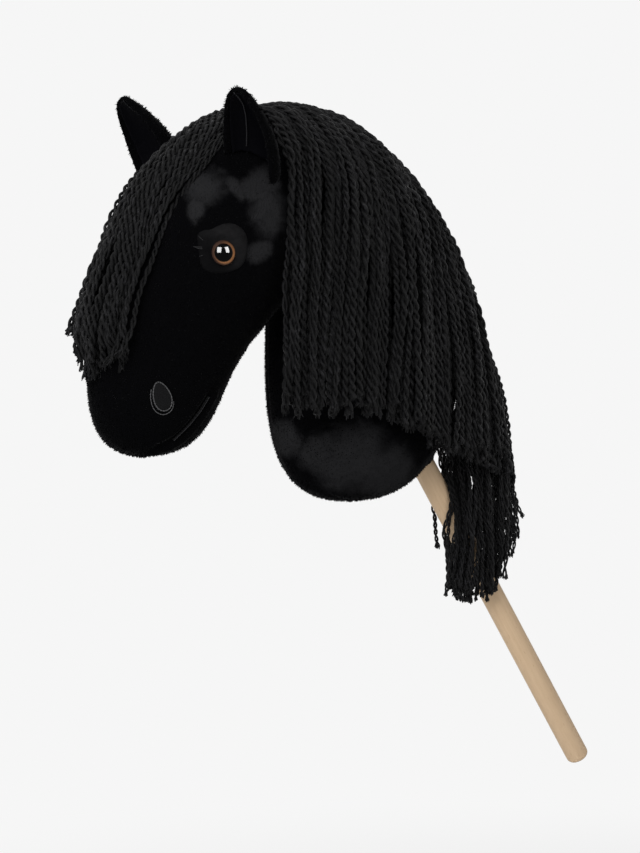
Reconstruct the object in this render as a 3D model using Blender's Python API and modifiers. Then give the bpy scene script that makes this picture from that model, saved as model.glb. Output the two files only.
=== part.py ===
"""Hobby horse: a stuffed plush head and neck with a yarn mane, on a removable beech stick.

Metres, +Z up. The horse faces -X and its left side is at -Y. The origin is on the stick's axis,
where a hand holds it below the neck.
"""
import math

import bmesh
import bpy
from mathutils import Matrix, Vector

# The stick
STICK_DIAMETER = 0.025
STICK_LEAN = math.radians(34.8)
STICK_BELOW_GRIP = 0.198
STICK_ABOVE_GRIP = 0.477
STICK_EDGE_RADIUS = 0.005

# The sleeve that the stick is pushed into, and the felt pad at its closed end
SLEEVE_CLEARANCE = 0.0004
SLEEVE_WALL = 0.0016
SLEEVE_MOUTH_ABOVE_GRIP = 0.216
PAD_THICKNESS = 0.004

# Cloth and gaps
GAP = 0.0003
PLUSH_THICKNESS = 0.003
TAPE_THICKNESS = 0.002
PATCH_THICKNESS = 0.0012
STITCH_HEIGHT = 0.0010
FACE_GUSSET_WIDTH = 0.070
THROAT_GUSSET_WIDTH = 0.034
MANE_TAPE_WIDTH = 0.028
FORELOCK_TAPE_WIDTH = 0.050
# Where the face gusset ends on the poll and the throat gusset on the back of the neck, the seam
# between the two at the lips, and the line inside the stuffing that parts them
FACE_GUSSET_END = -0.350
THROAT_GUSSET_END = 0.200
LIP_SEAM = -0.488
LIP_SEAM_TOP = 0.240
GUSSET_SPLIT = ((-0.488, 0.23), (-0.450, 0.30), (-0.430, 0.42))
POLL_SPLIT_HEIGHT = 0.50
THROAT_SPLIT = ((-0.280, 0.42), (-0.240, 0.30), (-0.215, 0.24))

# Head, from the lips up to the poll: height, front, back, place of the widest point, half width
LIPS = (-0.488, 0.194)
HEAD_SECTIONS = (
    (0.201, -0.519, -0.452, -0.487, 0.036),
    (0.221, -0.540, -0.424, -0.478, 0.053),
    (0.258, -0.549, -0.404, -0.467, 0.058),
    (0.302, -0.549, -0.384, -0.444, 0.061),
    (0.348, -0.541, -0.327, -0.400, 0.074),
    (0.400, -0.525, -0.289, -0.367, 0.084),
    (0.452, -0.496, -0.271, -0.350, 0.086),
    (0.496, -0.450, -0.276, -0.350, 0.075),
    (0.527, -0.402, -0.309, -0.354, 0.048),
)
POLL = (-0.355, 0.538)
# A quarter turn of a head section: share of its length before or behind the widest point, and
# share of its half width. The face is a wedge with a flat bridge, and the cheeks are full.
HEAD_RING = ((-1.0, 0.0), (-0.92, 0.52), (-0.34, 0.97), (0.40, 0.95), (0.93, 0.50), (1.0, 0.0))

# Neck, from its rounded base up to the crest: height, front, back, place of the widest point, half width
NECK_BASE = (-0.222, 0.1375)
NECK_SECTIONS = (
    (0.1435, -0.268, -0.178, -0.222, 0.034),
    (0.162, -0.300, -0.136, -0.217, 0.056),
    (0.205, -0.323, -0.099, -0.209, 0.072),
    (0.265, -0.330, -0.077, -0.204, 0.076),
    (0.330, -0.329, -0.079, -0.204, 0.074),
    (0.395, -0.328, -0.103, -0.215, 0.070),
    (0.455, -0.328, -0.145, -0.237, 0.064),
    (0.512, -0.332, -0.222, -0.279, 0.047),
)
CREST = (-0.302, 0.537)
RING_STEP = math.radians(36)
NECK_RING = tuple((-math.cos(i * RING_STEP), math.sin(i * RING_STEP)) for i in range(6))
# A ten-sided ring pulls in when it is smoothed, so it starts wider by this factor.
RING_SWELL = 1.05

# Mane, outside of the yarn: height, front, back, half width. It all falls to the left.
MANE_FRONT = -0.366
MANE_SECTIONS = (
    (0.140, -0.424, 0.008, 0.070),
    (0.172, -0.424, 0.003, 0.084),
    (0.250, -0.424, -0.032, 0.100),
    (0.350, -0.424, -0.066, 0.104),
    (0.435, -0.416, -0.118, 0.101),
    (0.500, -0.395, -0.179, 0.083),
    (0.541, -0.370, -0.246, 0.038),
)
MANE_TOP = (-0.320, 0.553)
MANE_RING = ((-1.0, 0.0), (-1.0, 0.68), (-0.80, 1.04), (0.15, 1.02), (0.86, 0.62), (1.0, 0.0))
MANE_DEPTH = 0.022
MANE_LEAST_HALF = 0.004
MANE_LOCKS = 8
# The front edge of the mane, from the crest past the back of the ear: place and height
MANE_EDGE = ((MANE_FRONT, 0.505), (-0.374, 0.470), (-0.388, 0.430))
# Where the ends of the yarn are, from the front of the mane to its back: place and height
MANE_HEM = ((-0.388, 0.240), (-0.259, 0.234), (-0.175, 0.204), (0.008, 0.158))

# The bundle of yarn that hangs from the withers on both sides of the stick: height, front, back, half width
WITHERS_TOP = (-0.070, 0.262)
WITHERS_SECTIONS = (
    (0.250, -0.096, -0.048, 0.016),
    (0.215, -0.102, -0.034, 0.028),
    (0.166, -0.103, -0.010, 0.037),
    (0.133, -0.100, 0.006, 0.040),
    (0.100, -0.096, 0.010, 0.040),
    (0.068, -0.092, 0.000, 0.035),
    (0.040, -0.084, -0.020, 0.027),
)
WITHERS_TIP = (-0.055, 0.027)
STICK_CHANNEL_CLEARANCE = 0.0015

# Forelock, outside of the yarn: height, front, back, half width
FORELOCK_TOP = (-0.376, 0.544)
FORELOCK_SECTIONS = (
    (0.537, -0.405, -0.354, 0.027),
    (0.513, -0.446, -0.376, 0.039),
    (0.477, -0.488, -0.424, 0.044),
    (0.433, -0.517, -0.460, 0.046),
    (0.385, -0.538, -0.490, 0.046),
    (0.335, -0.561, -0.512, 0.045),
    (0.303, -0.567, -0.524, 0.041),
)
FORELOCK_TIP = (-0.546, 0.288)
FORELOCK_LOCKS = 3

# Ears: base centre and tip of the left one, how far the opening is turned outward, and the cup
EAR_BASE = Vector((-0.4145, -0.074, 0.476))
EAR_TIP = Vector((-0.4550, -0.0960, 0.550))
EAR_TURN = math.radians(14)
EAR_CUP_RADIUS = 0.030
EAR_CLOTH = 0.0045
EAR_LINING_CLOTH = 0.0018
# The lining lies a little off the cup, whose curve is tightest at the tip
EAR_LINING_GAP = 0.0005
# Along the ear: share of its length, share of the cup's radius and half of the cup's opening angle,
# of which the inner half is less
EAR_SHAPE = (
    (-0.12, 0.84, 112),
    (0.12, 1.00, 102),
    (0.42, 0.95, 92),
    (0.70, 0.72, 84),
    (0.91, 0.44, 78),
)
EAR_INNER_SHARE = 0.86
EAR_TIP_SHARE = 0.3
# Faces from the middle of the ear to its rim
EAR_COLUMNS = 3

# Eyes: place on the side of the head, the dome, its stem and the washer
EYE_PLACE = (-0.446, 0.398)
EYE_RADIUS = 0.0118
EYE_HEIGHT = 0.0085
EYE_RIM = 0.0016
STEM_RADIUS = 0.003
STEM_LENGTH = 0.015
WASHER_RADIUS = 0.009
WASHER_THICKNESS = 0.0016
# The plush curves away from a flat washer, which touches it only at its edge.
WASHER_STAND_OFF = 0.0016
EYE_STEPS = 20
EYE_PATCH_LENGTH = 0.041
EYE_PATCH_HEIGHT = 0.032
EYE_PATCH_TILT = math.radians(24)
LEAF_POINTS = 16

# Nostril patches and the stitched mouth
NOSTRIL_PLACE = (-0.507, 0.2595)
NOSTRIL_LENGTH = 0.032
NOSTRIL_WIDTH = 0.0185
NOSTRIL_TILT = math.radians(108)
MOUTH_WIDTH = 0.0022
MOUTH_LINE = ((-0.450, 0.254), (-0.459, 0.242), (-0.470, 0.230), (-0.484, 0.217))

# The tapes in the side view: the line inside the neck that the crest's tape stays outside of, the
# heights where it ends at the withers and at the poll, and the front of the forelock's tape
TAPE_INNER_LINE = ((-0.280, 0.46), (-0.220, 0.40), (-0.190, 0.30))
TAPE_WITHERS_END = 0.225
TAPE_POLL_LEVEL = 0.490
FORELOCK_TAPE_FRONT = -0.408

# How far the shapes that cut reach past what they cut
REACH = 0.30
REGION_FAR = 0.75
WHOLE_SIDE = ((-1, -1), (1, -1), (1, 1), (-1, 1))

STICK_UP = Vector((-math.sin(STICK_LEAN), 0.0, math.cos(STICK_LEAN)))
SLEEVE_INNER = STICK_DIAMETER / 2 + SLEEVE_CLEARANCE
SLEEVE_OUTER = SLEEVE_INNER + SLEEVE_WALL
LEFT, RIGHT = -1, 1


def clear_scene():
    for thing in list(bpy.data.objects):
        bpy.data.objects.remove(thing)


def new_collection(name):
    made = bpy.data.collections.new(name)
    bpy.context.scene.collection.children.link(made)
    return made


clear_scene()
PARTS = new_collection("hobby_horse")
CUTTERS = new_collection("cutters")


def mesh_object(name, bm, collection):
    mesh = bpy.data.meshes.new(name)
    bm.to_mesh(mesh)
    bm.free()
    made = bpy.data.objects.new(name, mesh)
    collection.objects.link(made)
    if collection is CUTTERS:
        made.hide_render = True
        made.display_type = "WIRE"
    return made


def applied(thing, name, collection=None):
    """Replaces an object by one whose mesh is what its modifiers give, in world space."""
    bpy.context.view_layer.update()
    graph = bpy.context.evaluated_depsgraph_get()
    mesh = bpy.data.meshes.new_from_object(thing.evaluated_get(graph))
    mesh.transform(thing.matrix_world)
    bm = bmesh.new()
    bm.from_mesh(mesh)
    bmesh.ops.remove_doubles(bm, verts=bm.verts, dist=1e-6)
    bpy.data.meshes.remove(mesh)
    made = mesh_object(name, bm, collection or CUTTERS)
    bpy.data.objects.remove(thing)
    made.name = name
    return made


def finish(thing, stuff, smooth_angle=50):
    """Gives a piece its own material, of a colour and roughness, and smooth shading."""
    colour, roughness = stuff
    material = bpy.data.materials.new(thing.name)
    material.use_nodes = True
    shader = material.node_tree.nodes["Principled BSDF"]
    shader.inputs["Base Color"].default_value = (*colour, 1.0)
    shader.inputs["Roughness"].default_value = roughness
    shader.inputs["Metallic"].default_value = 0.0
    thing.data.materials.clear()
    thing.data.materials.append(material)
    thing.data.shade_smooth()
    thing.data.set_sharp_from_angle(angle=math.radians(smooth_angle))
    return thing


def boolean(thing, operation, other):
    step = thing.modifiers.new(operation.lower(), "BOOLEAN")
    step.operation = operation
    step.object = other
    step.solver = "EXACT"


def cut(thing, *others):
    for other in others:
        boolean(thing, "DIFFERENCE", other)


def keep_inside(thing, other):
    boolean(thing, "INTERSECT", other)


def copy_of(thing, name, collection):
    made = bpy.data.objects.new(name, thing.data.copy())
    collection.objects.link(made)
    return made


def other_side(thing, name):
    """The mirror image of a finished piece, on the horse's right."""
    bm = bmesh.new()
    bm.from_mesh(thing.data)
    bmesh.ops.scale(bm, vec=(1, -1, 1), verts=bm.verts)
    bmesh.ops.reverse_faces(bm, faces=bm.faces)
    return mesh_object(name, bm, PARTS)


def loft(name, sections, ring, first, last, grow=0.0):
    """A smooth closed form through level sections, with its skin moved outward by grow.

    A section is (height, front, back, widest, half width); first and last are the points (x, z)
    that close the ends. The right half is the exact mirror image of the left.
    """
    bm = bmesh.new()
    loops = []
    for height, front, back, widest, half in sections:
        points = []
        for along, across in ring:
            reach = (widest - front if along < 0 else back - widest) * RING_SWELL
            points.append((widest + along * reach, across * half * RING_SWELL))
        points += [(x, -y) for x, y in reversed(points[1:-1])]
        loops.append([bm.verts.new((x, y, height)) for x, y in points])
    count = len(loops[0])
    for low, high in zip(loops, loops[1:]):
        for i in range(count):
            j = (i + 1) % count
            bm.faces.new((low[i], low[j], high[j], high[i]))
    for loop, (x, z) in ((loops[0], first), (loops[-1], last)):
        tip = bm.verts.new((x, 0, z))
        for i in range(count):
            bm.faces.new((loop[(i + 1) % count], loop[i], tip))
    bmesh.ops.recalc_face_normals(bm, faces=bm.faces)
    form = mesh_object(name, bm, CUTTERS)
    smooth = form.modifiers.new("smooth", "SUBSURF")
    smooth.levels = smooth.render_levels = 1
    skin = form.modifiers.new("skin", "DISPLACE")
    skin.direction = "NORMAL"
    skin.mid_level = 0.0
    skin.strength = grow
    form = applied(form, name)
    bm = bmesh.new()
    bm.from_mesh(form.data)
    bmesh.ops.triangulate(bm, faces=bm.faces)
    whole = [*bm.verts, *bm.edges, *bm.faces]
    middle = {"plane_co": (0, 0, 0), "plane_no": (0, 1, 0)}
    bmesh.ops.bisect_plane(bm, geom=whole, dist=1e-6, clear_outer=True, **middle)
    for vert in bm.verts:
        if abs(vert.co.y) < 1e-5:
            vert.co.y = 0.0
    bmesh.ops.mirror(bm, geom=[*bm.verts, *bm.edges, *bm.faces], axis="Y", merge_dist=1e-6)
    bmesh.ops.recalc_face_normals(bm, faces=bm.faces)
    bm.to_mesh(form.data)
    bm.free()
    return form


def head_form(name, grow=0.0):
    return loft(name, HEAD_SECTIONS, HEAD_RING, LIPS, POLL, grow)


def neck_form(name, grow=0.0):
    return loft(name, NECK_SECTIONS, NECK_RING, NECK_BASE, CREST, grow)


def body_form(name, grow=0.0):
    """The outside of the stuffed head and neck as one form."""
    head = head_form(name + "_head", grow)
    neck = neck_form(name + "_neck", grow)
    boolean(head, "UNION", neck)
    made = applied(head, name)
    bpy.data.objects.remove(neck)
    return made


def prism(name, outline, low, high):
    """A side view outline of (x, z) points as a block from y = low to y = high."""
    bm = bmesh.new()
    face = bm.faces.new([bm.verts.new((x, low, z)) for x, z in outline])
    pushed = bmesh.ops.extrude_face_region(bm, geom=[face])["geom"]
    moved = [part for part in pushed if isinstance(part, bmesh.types.BMVert)]
    bmesh.ops.translate(bm, vec=(0, high - low, 0), verts=moved)
    bmesh.ops.recalc_face_normals(bm, faces=bm.faces)
    return mesh_object(name, bm, CUTTERS)


def turned(name, profile, collection, steps=32):
    """A profile of (radius, height) points, top to bottom on its outer side, turned about Z."""
    bm = bmesh.new()
    points = [bm.verts.new((radius, 0, height)) for radius, height in profile]
    for a, b in zip(points, points[1:]):
        bm.edges.new((a, b))
    made = mesh_object(name, bm, collection)
    screw = made.modifiers.new("turn", "SCREW")
    screw.axis = "Z"
    screw.steps = screw.render_steps = steps
    screw.use_merge_vertices = True
    screw.merge_threshold = 0.00001
    return made


def along_stick(thing, distance=0.0):
    """Turns an upright piece onto the stick's axis and slides it up by distance."""
    thing.matrix_world = Matrix.Translation(STICK_UP * distance) @ Matrix.Rotation(-STICK_LEAN, 4, "Y")
    return thing


def rod(name, radius, low, high, steps=32):
    """A plain cylinder on the stick's axis, for cutting."""
    return along_stick(turned(name, ((0, high), (radius, high), (radius, low), (0, low)), CUTTERS, steps))


def arc(centre, radius, start, end, count):
    """Points of an arc in a turned profile, angles in degrees from the +radius direction."""
    return [
        (
            centre[0] + radius * math.cos(math.radians(start + (end - start) * i / count)),
            centre[1] + radius * math.sin(math.radians(start + (end - start) * i / count)),
        )
        for i in range(count + 1)
    ]


# What each piece is made of: colour and roughness
BEECH = ((0.50, 0.36, 0.23), 0.55)
BLACK_PLUSH = ((0.012, 0.012, 0.013), 0.90)
BLACK_SATIN = ((0.008, 0.008, 0.010), 0.70)
BLACK_YARN = ((0.020, 0.020, 0.021), 0.85)
TAPE_COTTON = ((0.020, 0.020, 0.021), 0.90)
GREY_PATCH = ((0.035, 0.035, 0.037), 0.70)
WHITE_FIBRE = ((0.80, 0.79, 0.76), 0.95)
SLEEVE_COTTON = ((0.62, 0.58, 0.50), 0.90)
FELT = ((0.35, 0.34, 0.33), 0.95)
AMBER = ((0.45, 0.16, 0.03), 0.10)
WHITE_PLASTIC = ((0.75, 0.75, 0.73), 0.50)


def make_stick():
    """The beech dowel, with rounded edges and a flat face at each end."""
    radius = STICK_DIAMETER / 2
    flat = radius - STICK_EDGE_RADIUS
    top = arc((flat, STICK_ABOVE_GRIP - STICK_EDGE_RADIUS), STICK_EDGE_RADIUS, 90, 0, 4)
    bottom = arc((flat, -STICK_BELOW_GRIP + STICK_EDGE_RADIUS), STICK_EDGE_RADIUS, 0, -90, 4)
    profile = [(0, STICK_ABOVE_GRIP), *top, *bottom, (0, -STICK_BELOW_GRIP)]
    finish(along_stick(turned("stick", profile, PARTS)), BEECH)


def make_sleeve():
    """The cotton sleeve sewn into the neck, closed at its top, and the felt pad at its end."""
    pad_low = STICK_ABOVE_GRIP + GAP
    pad_high = pad_low + PAD_THICKNESS
    inside_top = pad_high + GAP
    outside_top = inside_top + SLEEVE_WALL
    profile = (
        (0, outside_top),
        (SLEEVE_OUTER, outside_top),
        (SLEEVE_OUTER, SLEEVE_MOUTH_ABOVE_GRIP),
        (SLEEVE_INNER, SLEEVE_MOUTH_ABOVE_GRIP),
        (SLEEVE_INNER, inside_top),
        (0, inside_top),
    )
    finish(along_stick(turned("stick_sleeve", profile, PARTS)), SLEEVE_COTTON)
    pad_radius = SLEEVE_INNER - GAP
    profile = ((0, pad_high), (pad_radius, pad_high), (pad_radius, pad_low), (0, pad_low))
    finish(along_stick(turned("sleeve_end_pad", profile, PARTS)), FELT)
    return outside_top


sleeve_top = make_sleeve()
make_stick()

# What the stick and its sleeve take out of the stuffing and the cover
sleeve_room = rod("sleeve_room", SLEEVE_OUTER + GAP, 0.0, sleeve_top + GAP)
stick_channel = rod(
    "stick_channel", STICK_DIAMETER / 2 + STICK_CHANNEL_CLEARANCE, -STICK_BELOW_GRIP, STICK_ABOVE_GRIP
)

# The plush cover's outside, its inside, and the room that it takes from what lies on it
outside = body_form("cover_outside")
inside = body_form("cover_inside", -PLUSH_THICKNESS)
on_plush = body_form("on_plush", GAP)
over_tape = body_form("over_tape", GAP + TAPE_THICKNESS + GAP)


def surface_point(x, z, side):
    """The point and outward normal of the cover's side at (x, z)."""
    start = Vector((x, side * REACH, z))
    hit, place, normal, _ = outside.ray_cast(start, Vector((0, -side, 0)))
    if not hit:
        raise ValueError("no cover at this place")
    return place, normal


def facing(place, normal, roll=0.0):
    """A turn that lays Z along the normal at a place, with X level and then rolled."""
    level = Vector((0, 0, 1)).cross(normal).normalized()
    upward = normal.cross(level)
    turn = Matrix((level, upward, normal)).transposed().to_4x4()
    return Matrix.Translation(place) @ turn @ Matrix.Rotation(roll, 4, "Z")


# Each eye is put in at right angles to the plush
eye_place, eye_normal = surface_point(*EYE_PLACE, LEFT)


def make_eye():
    """The domed plastic eye with its stem, and the washer that locks it inside the plush."""
    seat = GAP + PATCH_THICKNESS + GAP
    dome_base = seat + EYE_RIM
    rise = EYE_HEIGHT - EYE_RIM
    sphere = (EYE_RADIUS**2 + rise**2) / (2 * rise)
    opening = math.degrees(math.asin(EYE_RADIUS / sphere))
    dome = arc((0, dome_base + rise - sphere), sphere, 90, 90 - opening, 5)
    profile = [*dome, (EYE_RADIUS, seat), (STEM_RADIUS, seat), (STEM_RADIUS, -STEM_LENGTH), (0, -STEM_LENGTH)]
    profile[0] = (0, dome_base + rise)
    eye = turned("eye_left", profile, CUTTERS, EYE_STEPS)
    eye.matrix_world = facing(eye_place, eye_normal)
    top = -PLUSH_THICKNESS - WASHER_STAND_OFF
    hole = STEM_RADIUS + GAP
    low = top - WASHER_THICKNESS
    profile = ((hole, top), (WASHER_RADIUS, top), (WASHER_RADIUS, low), (hole, low), (hole, top))
    washer = turned("eye_washer_left", profile, CUTTERS, EYE_STEPS)
    washer.matrix_world = facing(eye_place, eye_normal)
    for piece, name, stuff in ((eye, "eye", AMBER), (washer, "eye_washer", WHITE_PLASTIC)):
        left = finish(applied(piece, name + "_left", PARTS), stuff, 35)
        finish(other_side(left, name + "_right"), stuff, 35)


def eye_rooms():
    """For each eye, the hole in the cloth for its stem and the pocket in the stuffing behind it."""
    rooms = []
    hole = STEM_RADIUS + GAP
    wide = WASHER_RADIUS + GAP
    step = -PLUSH_THICKNESS - WASHER_STAND_OFF - WASHER_THICKNESS - GAP
    bottom = -STEM_LENGTH - GAP
    for side in (LEFT, RIGHT):
        place, normal = surface_point(*EYE_PLACE, side)
        stem = turned("stem_hole", ((0, REACH), (hole, REACH), (hole, bottom), (0, bottom)), CUTTERS, EYE_STEPS)
        profile = ((0, GAP), (wide, GAP), (wide, step), (hole, step), (hole, bottom), (0, bottom))
        pocket = turned("washer_pocket", profile, CUTTERS, EYE_STEPS)
        for thing in (stem, pocket):
            thing.matrix_world = facing(place, normal)
        rooms.append((stem, pocket))
    return rooms


make_eye()
EYE_ROOMS = eye_rooms()


def make_stuffing():
    """The fibre that fills the head and the neck, bored for the sleeve and hollowed for the eyes."""
    grow = -PLUSH_THICKNESS - GAP
    head = head_form("head_stuffing_form", grow)
    cut(head, sleeve_room)
    cut(head, *(pocket for _, pocket in EYE_ROOMS))
    finish(applied(head, "head_stuffing", PARTS), WHITE_FIBRE)
    neck = neck_form("neck_stuffing_form", grow)
    head_room = head_form("head_room", -PLUSH_THICKNESS)
    cut(neck, head_room, sleeve_room)
    finish(applied(neck, "neck_stuffing", PARTS), WHITE_FIBRE)


make_stuffing()

def face_region(grow):
    """The face gusset's outline in the side view, with its end at the poll moved by grow."""
    end = FACE_GUSSET_END + grow
    poll = ((end, POLL_SPLIT_HEIGHT), (end, REGION_FAR), (-REGION_FAR, REGION_FAR))
    return ((-REGION_FAR, 0), (LIP_SEAM, 0), *GUSSET_SPLIT, *poll)


def throat_region(grow):
    """The throat gusset's outline in the side view, with its end on the neck moved by grow."""
    end = THROAT_GUSSET_END + grow
    return ((LIP_SEAM, 0), *GUSSET_SPLIT, *THROAT_SPLIT, (THROAT_SPLIT[-1][0], end), (0, end), (0, 0))


def middle_block(name, outline, width):
    """A side view outline as a block of this width, centred on the middle of the horse."""
    return prism(name, outline, -width / 2, width / 2)


def make_cover():
    """The four sewn panels of the plush cover."""
    shell = copy_of(outside, "cover_shell", CUTTERS)
    cut(shell, inside, sleeve_room)
    for stem, _ in EYE_ROOMS:
        cut(shell, stem)
    shell = applied(shell, "cover_shell")
    front = LIP_SEAM - GAP
    lip_gap = ((front, 0), (LIP_SEAM, 0), (LIP_SEAM, LIP_SEAM_TOP), (front, LIP_SEAM_TOP))
    face = copy_of(shell, "face_gusset", CUTTERS)
    keep_inside(face, middle_block("face_block", face_region(0), FACE_GUSSET_WIDTH))
    cut(face, prism("lip_gap", lip_gap, -REACH, REACH))
    finish(applied(face, "face_gusset", PARTS), BLACK_PLUSH)
    throat = copy_of(shell, "throat_gusset", CUTTERS)
    keep_inside(throat, middle_block("throat_block", throat_region(0), THROAT_GUSSET_WIDTH))
    finish(applied(throat, "throat_gusset", PARTS), BLACK_PLUSH)
    side = copy_of(shell, "side_panel_left", CUTTERS)
    keep_inside(side, prism("left_half", WHOLE_SIDE, -REACH, -GAP / 2))
    cut(side, middle_block("face_room", face_region(GAP), FACE_GUSSET_WIDTH + 2 * GAP))
    cut(side, middle_block("throat_room", throat_region(GAP), THROAT_GUSSET_WIDTH + 2 * GAP))
    left = finish(applied(side, "side_panel_left", PARTS), BLACK_PLUSH)
    finish(other_side(left, "side_panel_right"), BLACK_PLUSH)


make_cover()


def make_tapes():
    """The tapes on the crest and the poll that the yarn is sewn to."""
    top = body_form("tape_top", GAP + TAPE_THICKNESS)
    strip = copy_of(top, "tape_strip", CUTTERS)
    cut(strip, on_plush)
    strip = applied(strip, "tape_strip")
    inner_end = (TAPE_INNER_LINE[-1][0], TAPE_WITHERS_END)
    crest_region = (
        (MANE_FRONT, REGION_FAR), (MANE_FRONT, TAPE_POLL_LEVEL), *TAPE_INNER_LINE, inner_end,
        (REGION_FAR, TAPE_WITHERS_END), (REGION_FAR, REGION_FAR),
    )
    half = MANE_TAPE_WIDTH / 2
    tape = copy_of(strip, "mane_tape", CUTTERS)
    keep_inside(tape, prism("crest_block", crest_region, -half, half))
    finish(applied(tape, "mane_tape", PARTS), TAPE_COTTON)
    edge = MANE_FRONT - GAP
    front = FORELOCK_TAPE_FRONT
    poll_region = ((edge, REGION_FAR), (edge, TAPE_POLL_LEVEL), (front, TAPE_POLL_LEVEL), (front, REGION_FAR))
    half = FORELOCK_TAPE_WIDTH / 2
    tape = copy_of(strip, "forelock_tape", CUTTERS)
    keep_inside(tape, prism("poll_block", poll_region, -half, half))
    finish(applied(tape, "forelock_tape", PARTS), TAPE_COTTON)


make_tapes()


def level(sections):
    """Sections without a place for the widest point get it in the middle."""
    return [(height, front, back, (front + back) / 2, half) for height, front, back, half in sections]


def mane_form(name, less=0.0):
    """The outside of the mane, or its inner side when less is the yarn's depth."""
    sections = [
        (height - less / 2, front - less, back - less, max(half - less, MANE_LEAST_HALF))
        for height, front, back, half in MANE_SECTIONS
    ]
    low = sections[0]
    first = ((low[1] + low[2]) / 2, low[0] - MANE_LEAST_HALF)
    last = (MANE_TOP[0], MANE_TOP[1] - less)
    return loft(name, level(sections), MANE_RING, first, last)


def hem_height(x):
    """The height of the yarn's ends at a place along the mane."""
    for (x0, z0), (x1, z1) in zip(MANE_HEM, MANE_HEM[1:]):
        if x <= x1:
            return z0 + (z1 - z0) * (x - x0) / (x1 - x0)
    return MANE_HEM[-1][1]


def make_withers():
    """The long bundle below the crest, parted for the stick."""
    form = loft("withers_form", level(WITHERS_SECTIONS), NECK_RING, WITHERS_TOP, WITHERS_TIP)
    cut(form, over_tape, sleeve_room, stick_channel)
    form = applied(form, "withers_form")
    lock = copy_of(form, "withers_lock_left", CUTTERS)
    keep_inside(lock, prism("withers_half", WHOLE_SIDE, -REACH, -GAP / 2))
    left = finish(applied(lock, "withers_lock_left", PARTS), BLACK_YARN)
    finish(other_side(left, "withers_lock_right"), BLACK_YARN)
    return loft("withers_room", level(WITHERS_SECTIONS), NECK_RING, WITHERS_TOP, WITHERS_TIP, GAP)


def make_mane(withers_room):
    """The locks that are sewn over the crest's tape and fall down the left side of the neck."""
    mane = mane_form("mane_outside")
    cut(mane, mane_form("mane_inside", MANE_DEPTH), over_tape, stick_channel, withers_room)
    mane = applied(mane, "mane_outside")
    front = MANE_EDGE[-1][0]
    back = MANE_SECTIONS[0][2] + MANE_DEPTH
    step = (back - front) / MANE_LOCKS
    for index in range(MANE_LOCKS):
        start = front + index * step
        end = start + step
        if index == 0:
            front_edge = [(MANE_FRONT, REGION_FAR), *MANE_EDGE, (start, hem_height(start))]
        else:
            front_edge = [(start + GAP / 2, REGION_FAR), (start + GAP / 2, hem_height(start))]
        outline = (*front_edge, (end - GAP / 2, hem_height(end)), (end - GAP / 2, REGION_FAR))
        slab = prism(f"mane_slab_{index + 1}", outline, -REACH, MANE_TAPE_WIDTH / 2)
        lock = copy_of(mane, f"mane_lock_{index + 1}", CUTTERS)
        keep_inside(lock, slab)
        finish(applied(lock, f"mane_lock_{index + 1}", PARTS), BLACK_YARN)


make_mane(make_withers())


def make_forelock():
    """The locks that fall between the ears and down the face."""
    form = loft("forelock_form", level(FORELOCK_SECTIONS), NECK_RING, FORELOCK_TOP, FORELOCK_TIP)
    edge = MANE_FRONT - GAP / 2
    behind = ((edge, 0), (REGION_FAR, 0), (REGION_FAR, REGION_FAR), (edge, REGION_FAR))
    mane_side = prism("mane_side", behind, -REACH, REACH)
    cut(form, over_tape, mane_side)
    form = applied(form, "forelock_form")
    widest = max(section[3] for section in FORELOCK_SECTIONS)
    step = 2 * widest / FORELOCK_LOCKS
    for index, name in enumerate(("left", "middle", "right")):
        low = -widest + index * step
        if index == 0:
            low -= REACH
        high = -widest + (index + 1) * step
        if index == FORELOCK_LOCKS - 1:
            high += REACH
        block = prism(f"forelock_block_{name}", WHOLE_SIDE, low + GAP / 2, high - GAP / 2)
        lock = copy_of(form, f"forelock_{name}", CUTTERS)
        keep_inside(lock, block)
        finish(applied(lock, f"forelock_{name}", PARTS), BLACK_YARN)


make_forelock()


def ear_sheet():
    """The left ear's cupped leaf, an open sheet whose normals point into the cup."""
    length = (EAR_TIP - EAR_BASE).length
    along = (EAR_TIP - EAR_BASE).normalized()
    front = Vector((-math.cos(EAR_TURN), -math.sin(EAR_TURN), 0))
    front = (front - along * front.dot(along)).normalized()
    across = along.cross(front)
    bm = bmesh.new()
    rows = []
    for place, size, angle in EAR_SHAPE:
        centre = EAR_BASE + along * (length * place)
        row = []
        for i in range(-EAR_COLUMNS, EAR_COLUMNS + 1):
            turn = math.radians(angle) * i / EAR_COLUMNS * (EAR_INNER_SHARE if i < 0 else 1)
            outward = across * math.sin(turn) - front * math.cos(turn)
            row.append(bm.verts.new(centre + outward * (EAR_CUP_RADIUS * size)))
        rows.append(row)
    tip = bm.verts.new(EAR_TIP - front * (EAR_CUP_RADIUS * EAR_TIP_SHARE))
    for low, high in zip(rows, rows[1:]):
        for i in range(2 * EAR_COLUMNS):
            bm.faces.new((low[i], low[i + 1], high[i + 1], high[i]))
    for i in range(2 * EAR_COLUMNS):
        bm.faces.new((rows[-1][i], rows[-1][i + 1], tip))
    sheet = mesh_object("ear_sheet", bm, CUTTERS)
    smooth = sheet.modifiers.new("smooth", "SUBSURF")
    smooth.levels = smooth.render_levels = 1
    return applied(sheet, "ear_sheet")


def give_wall(thing, thickness, offset):
    wall = thing.modifiers.new("wall", "SOLIDIFY")
    wall.thickness = thickness
    wall.offset = offset
    wall.use_even_offset = True


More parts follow.
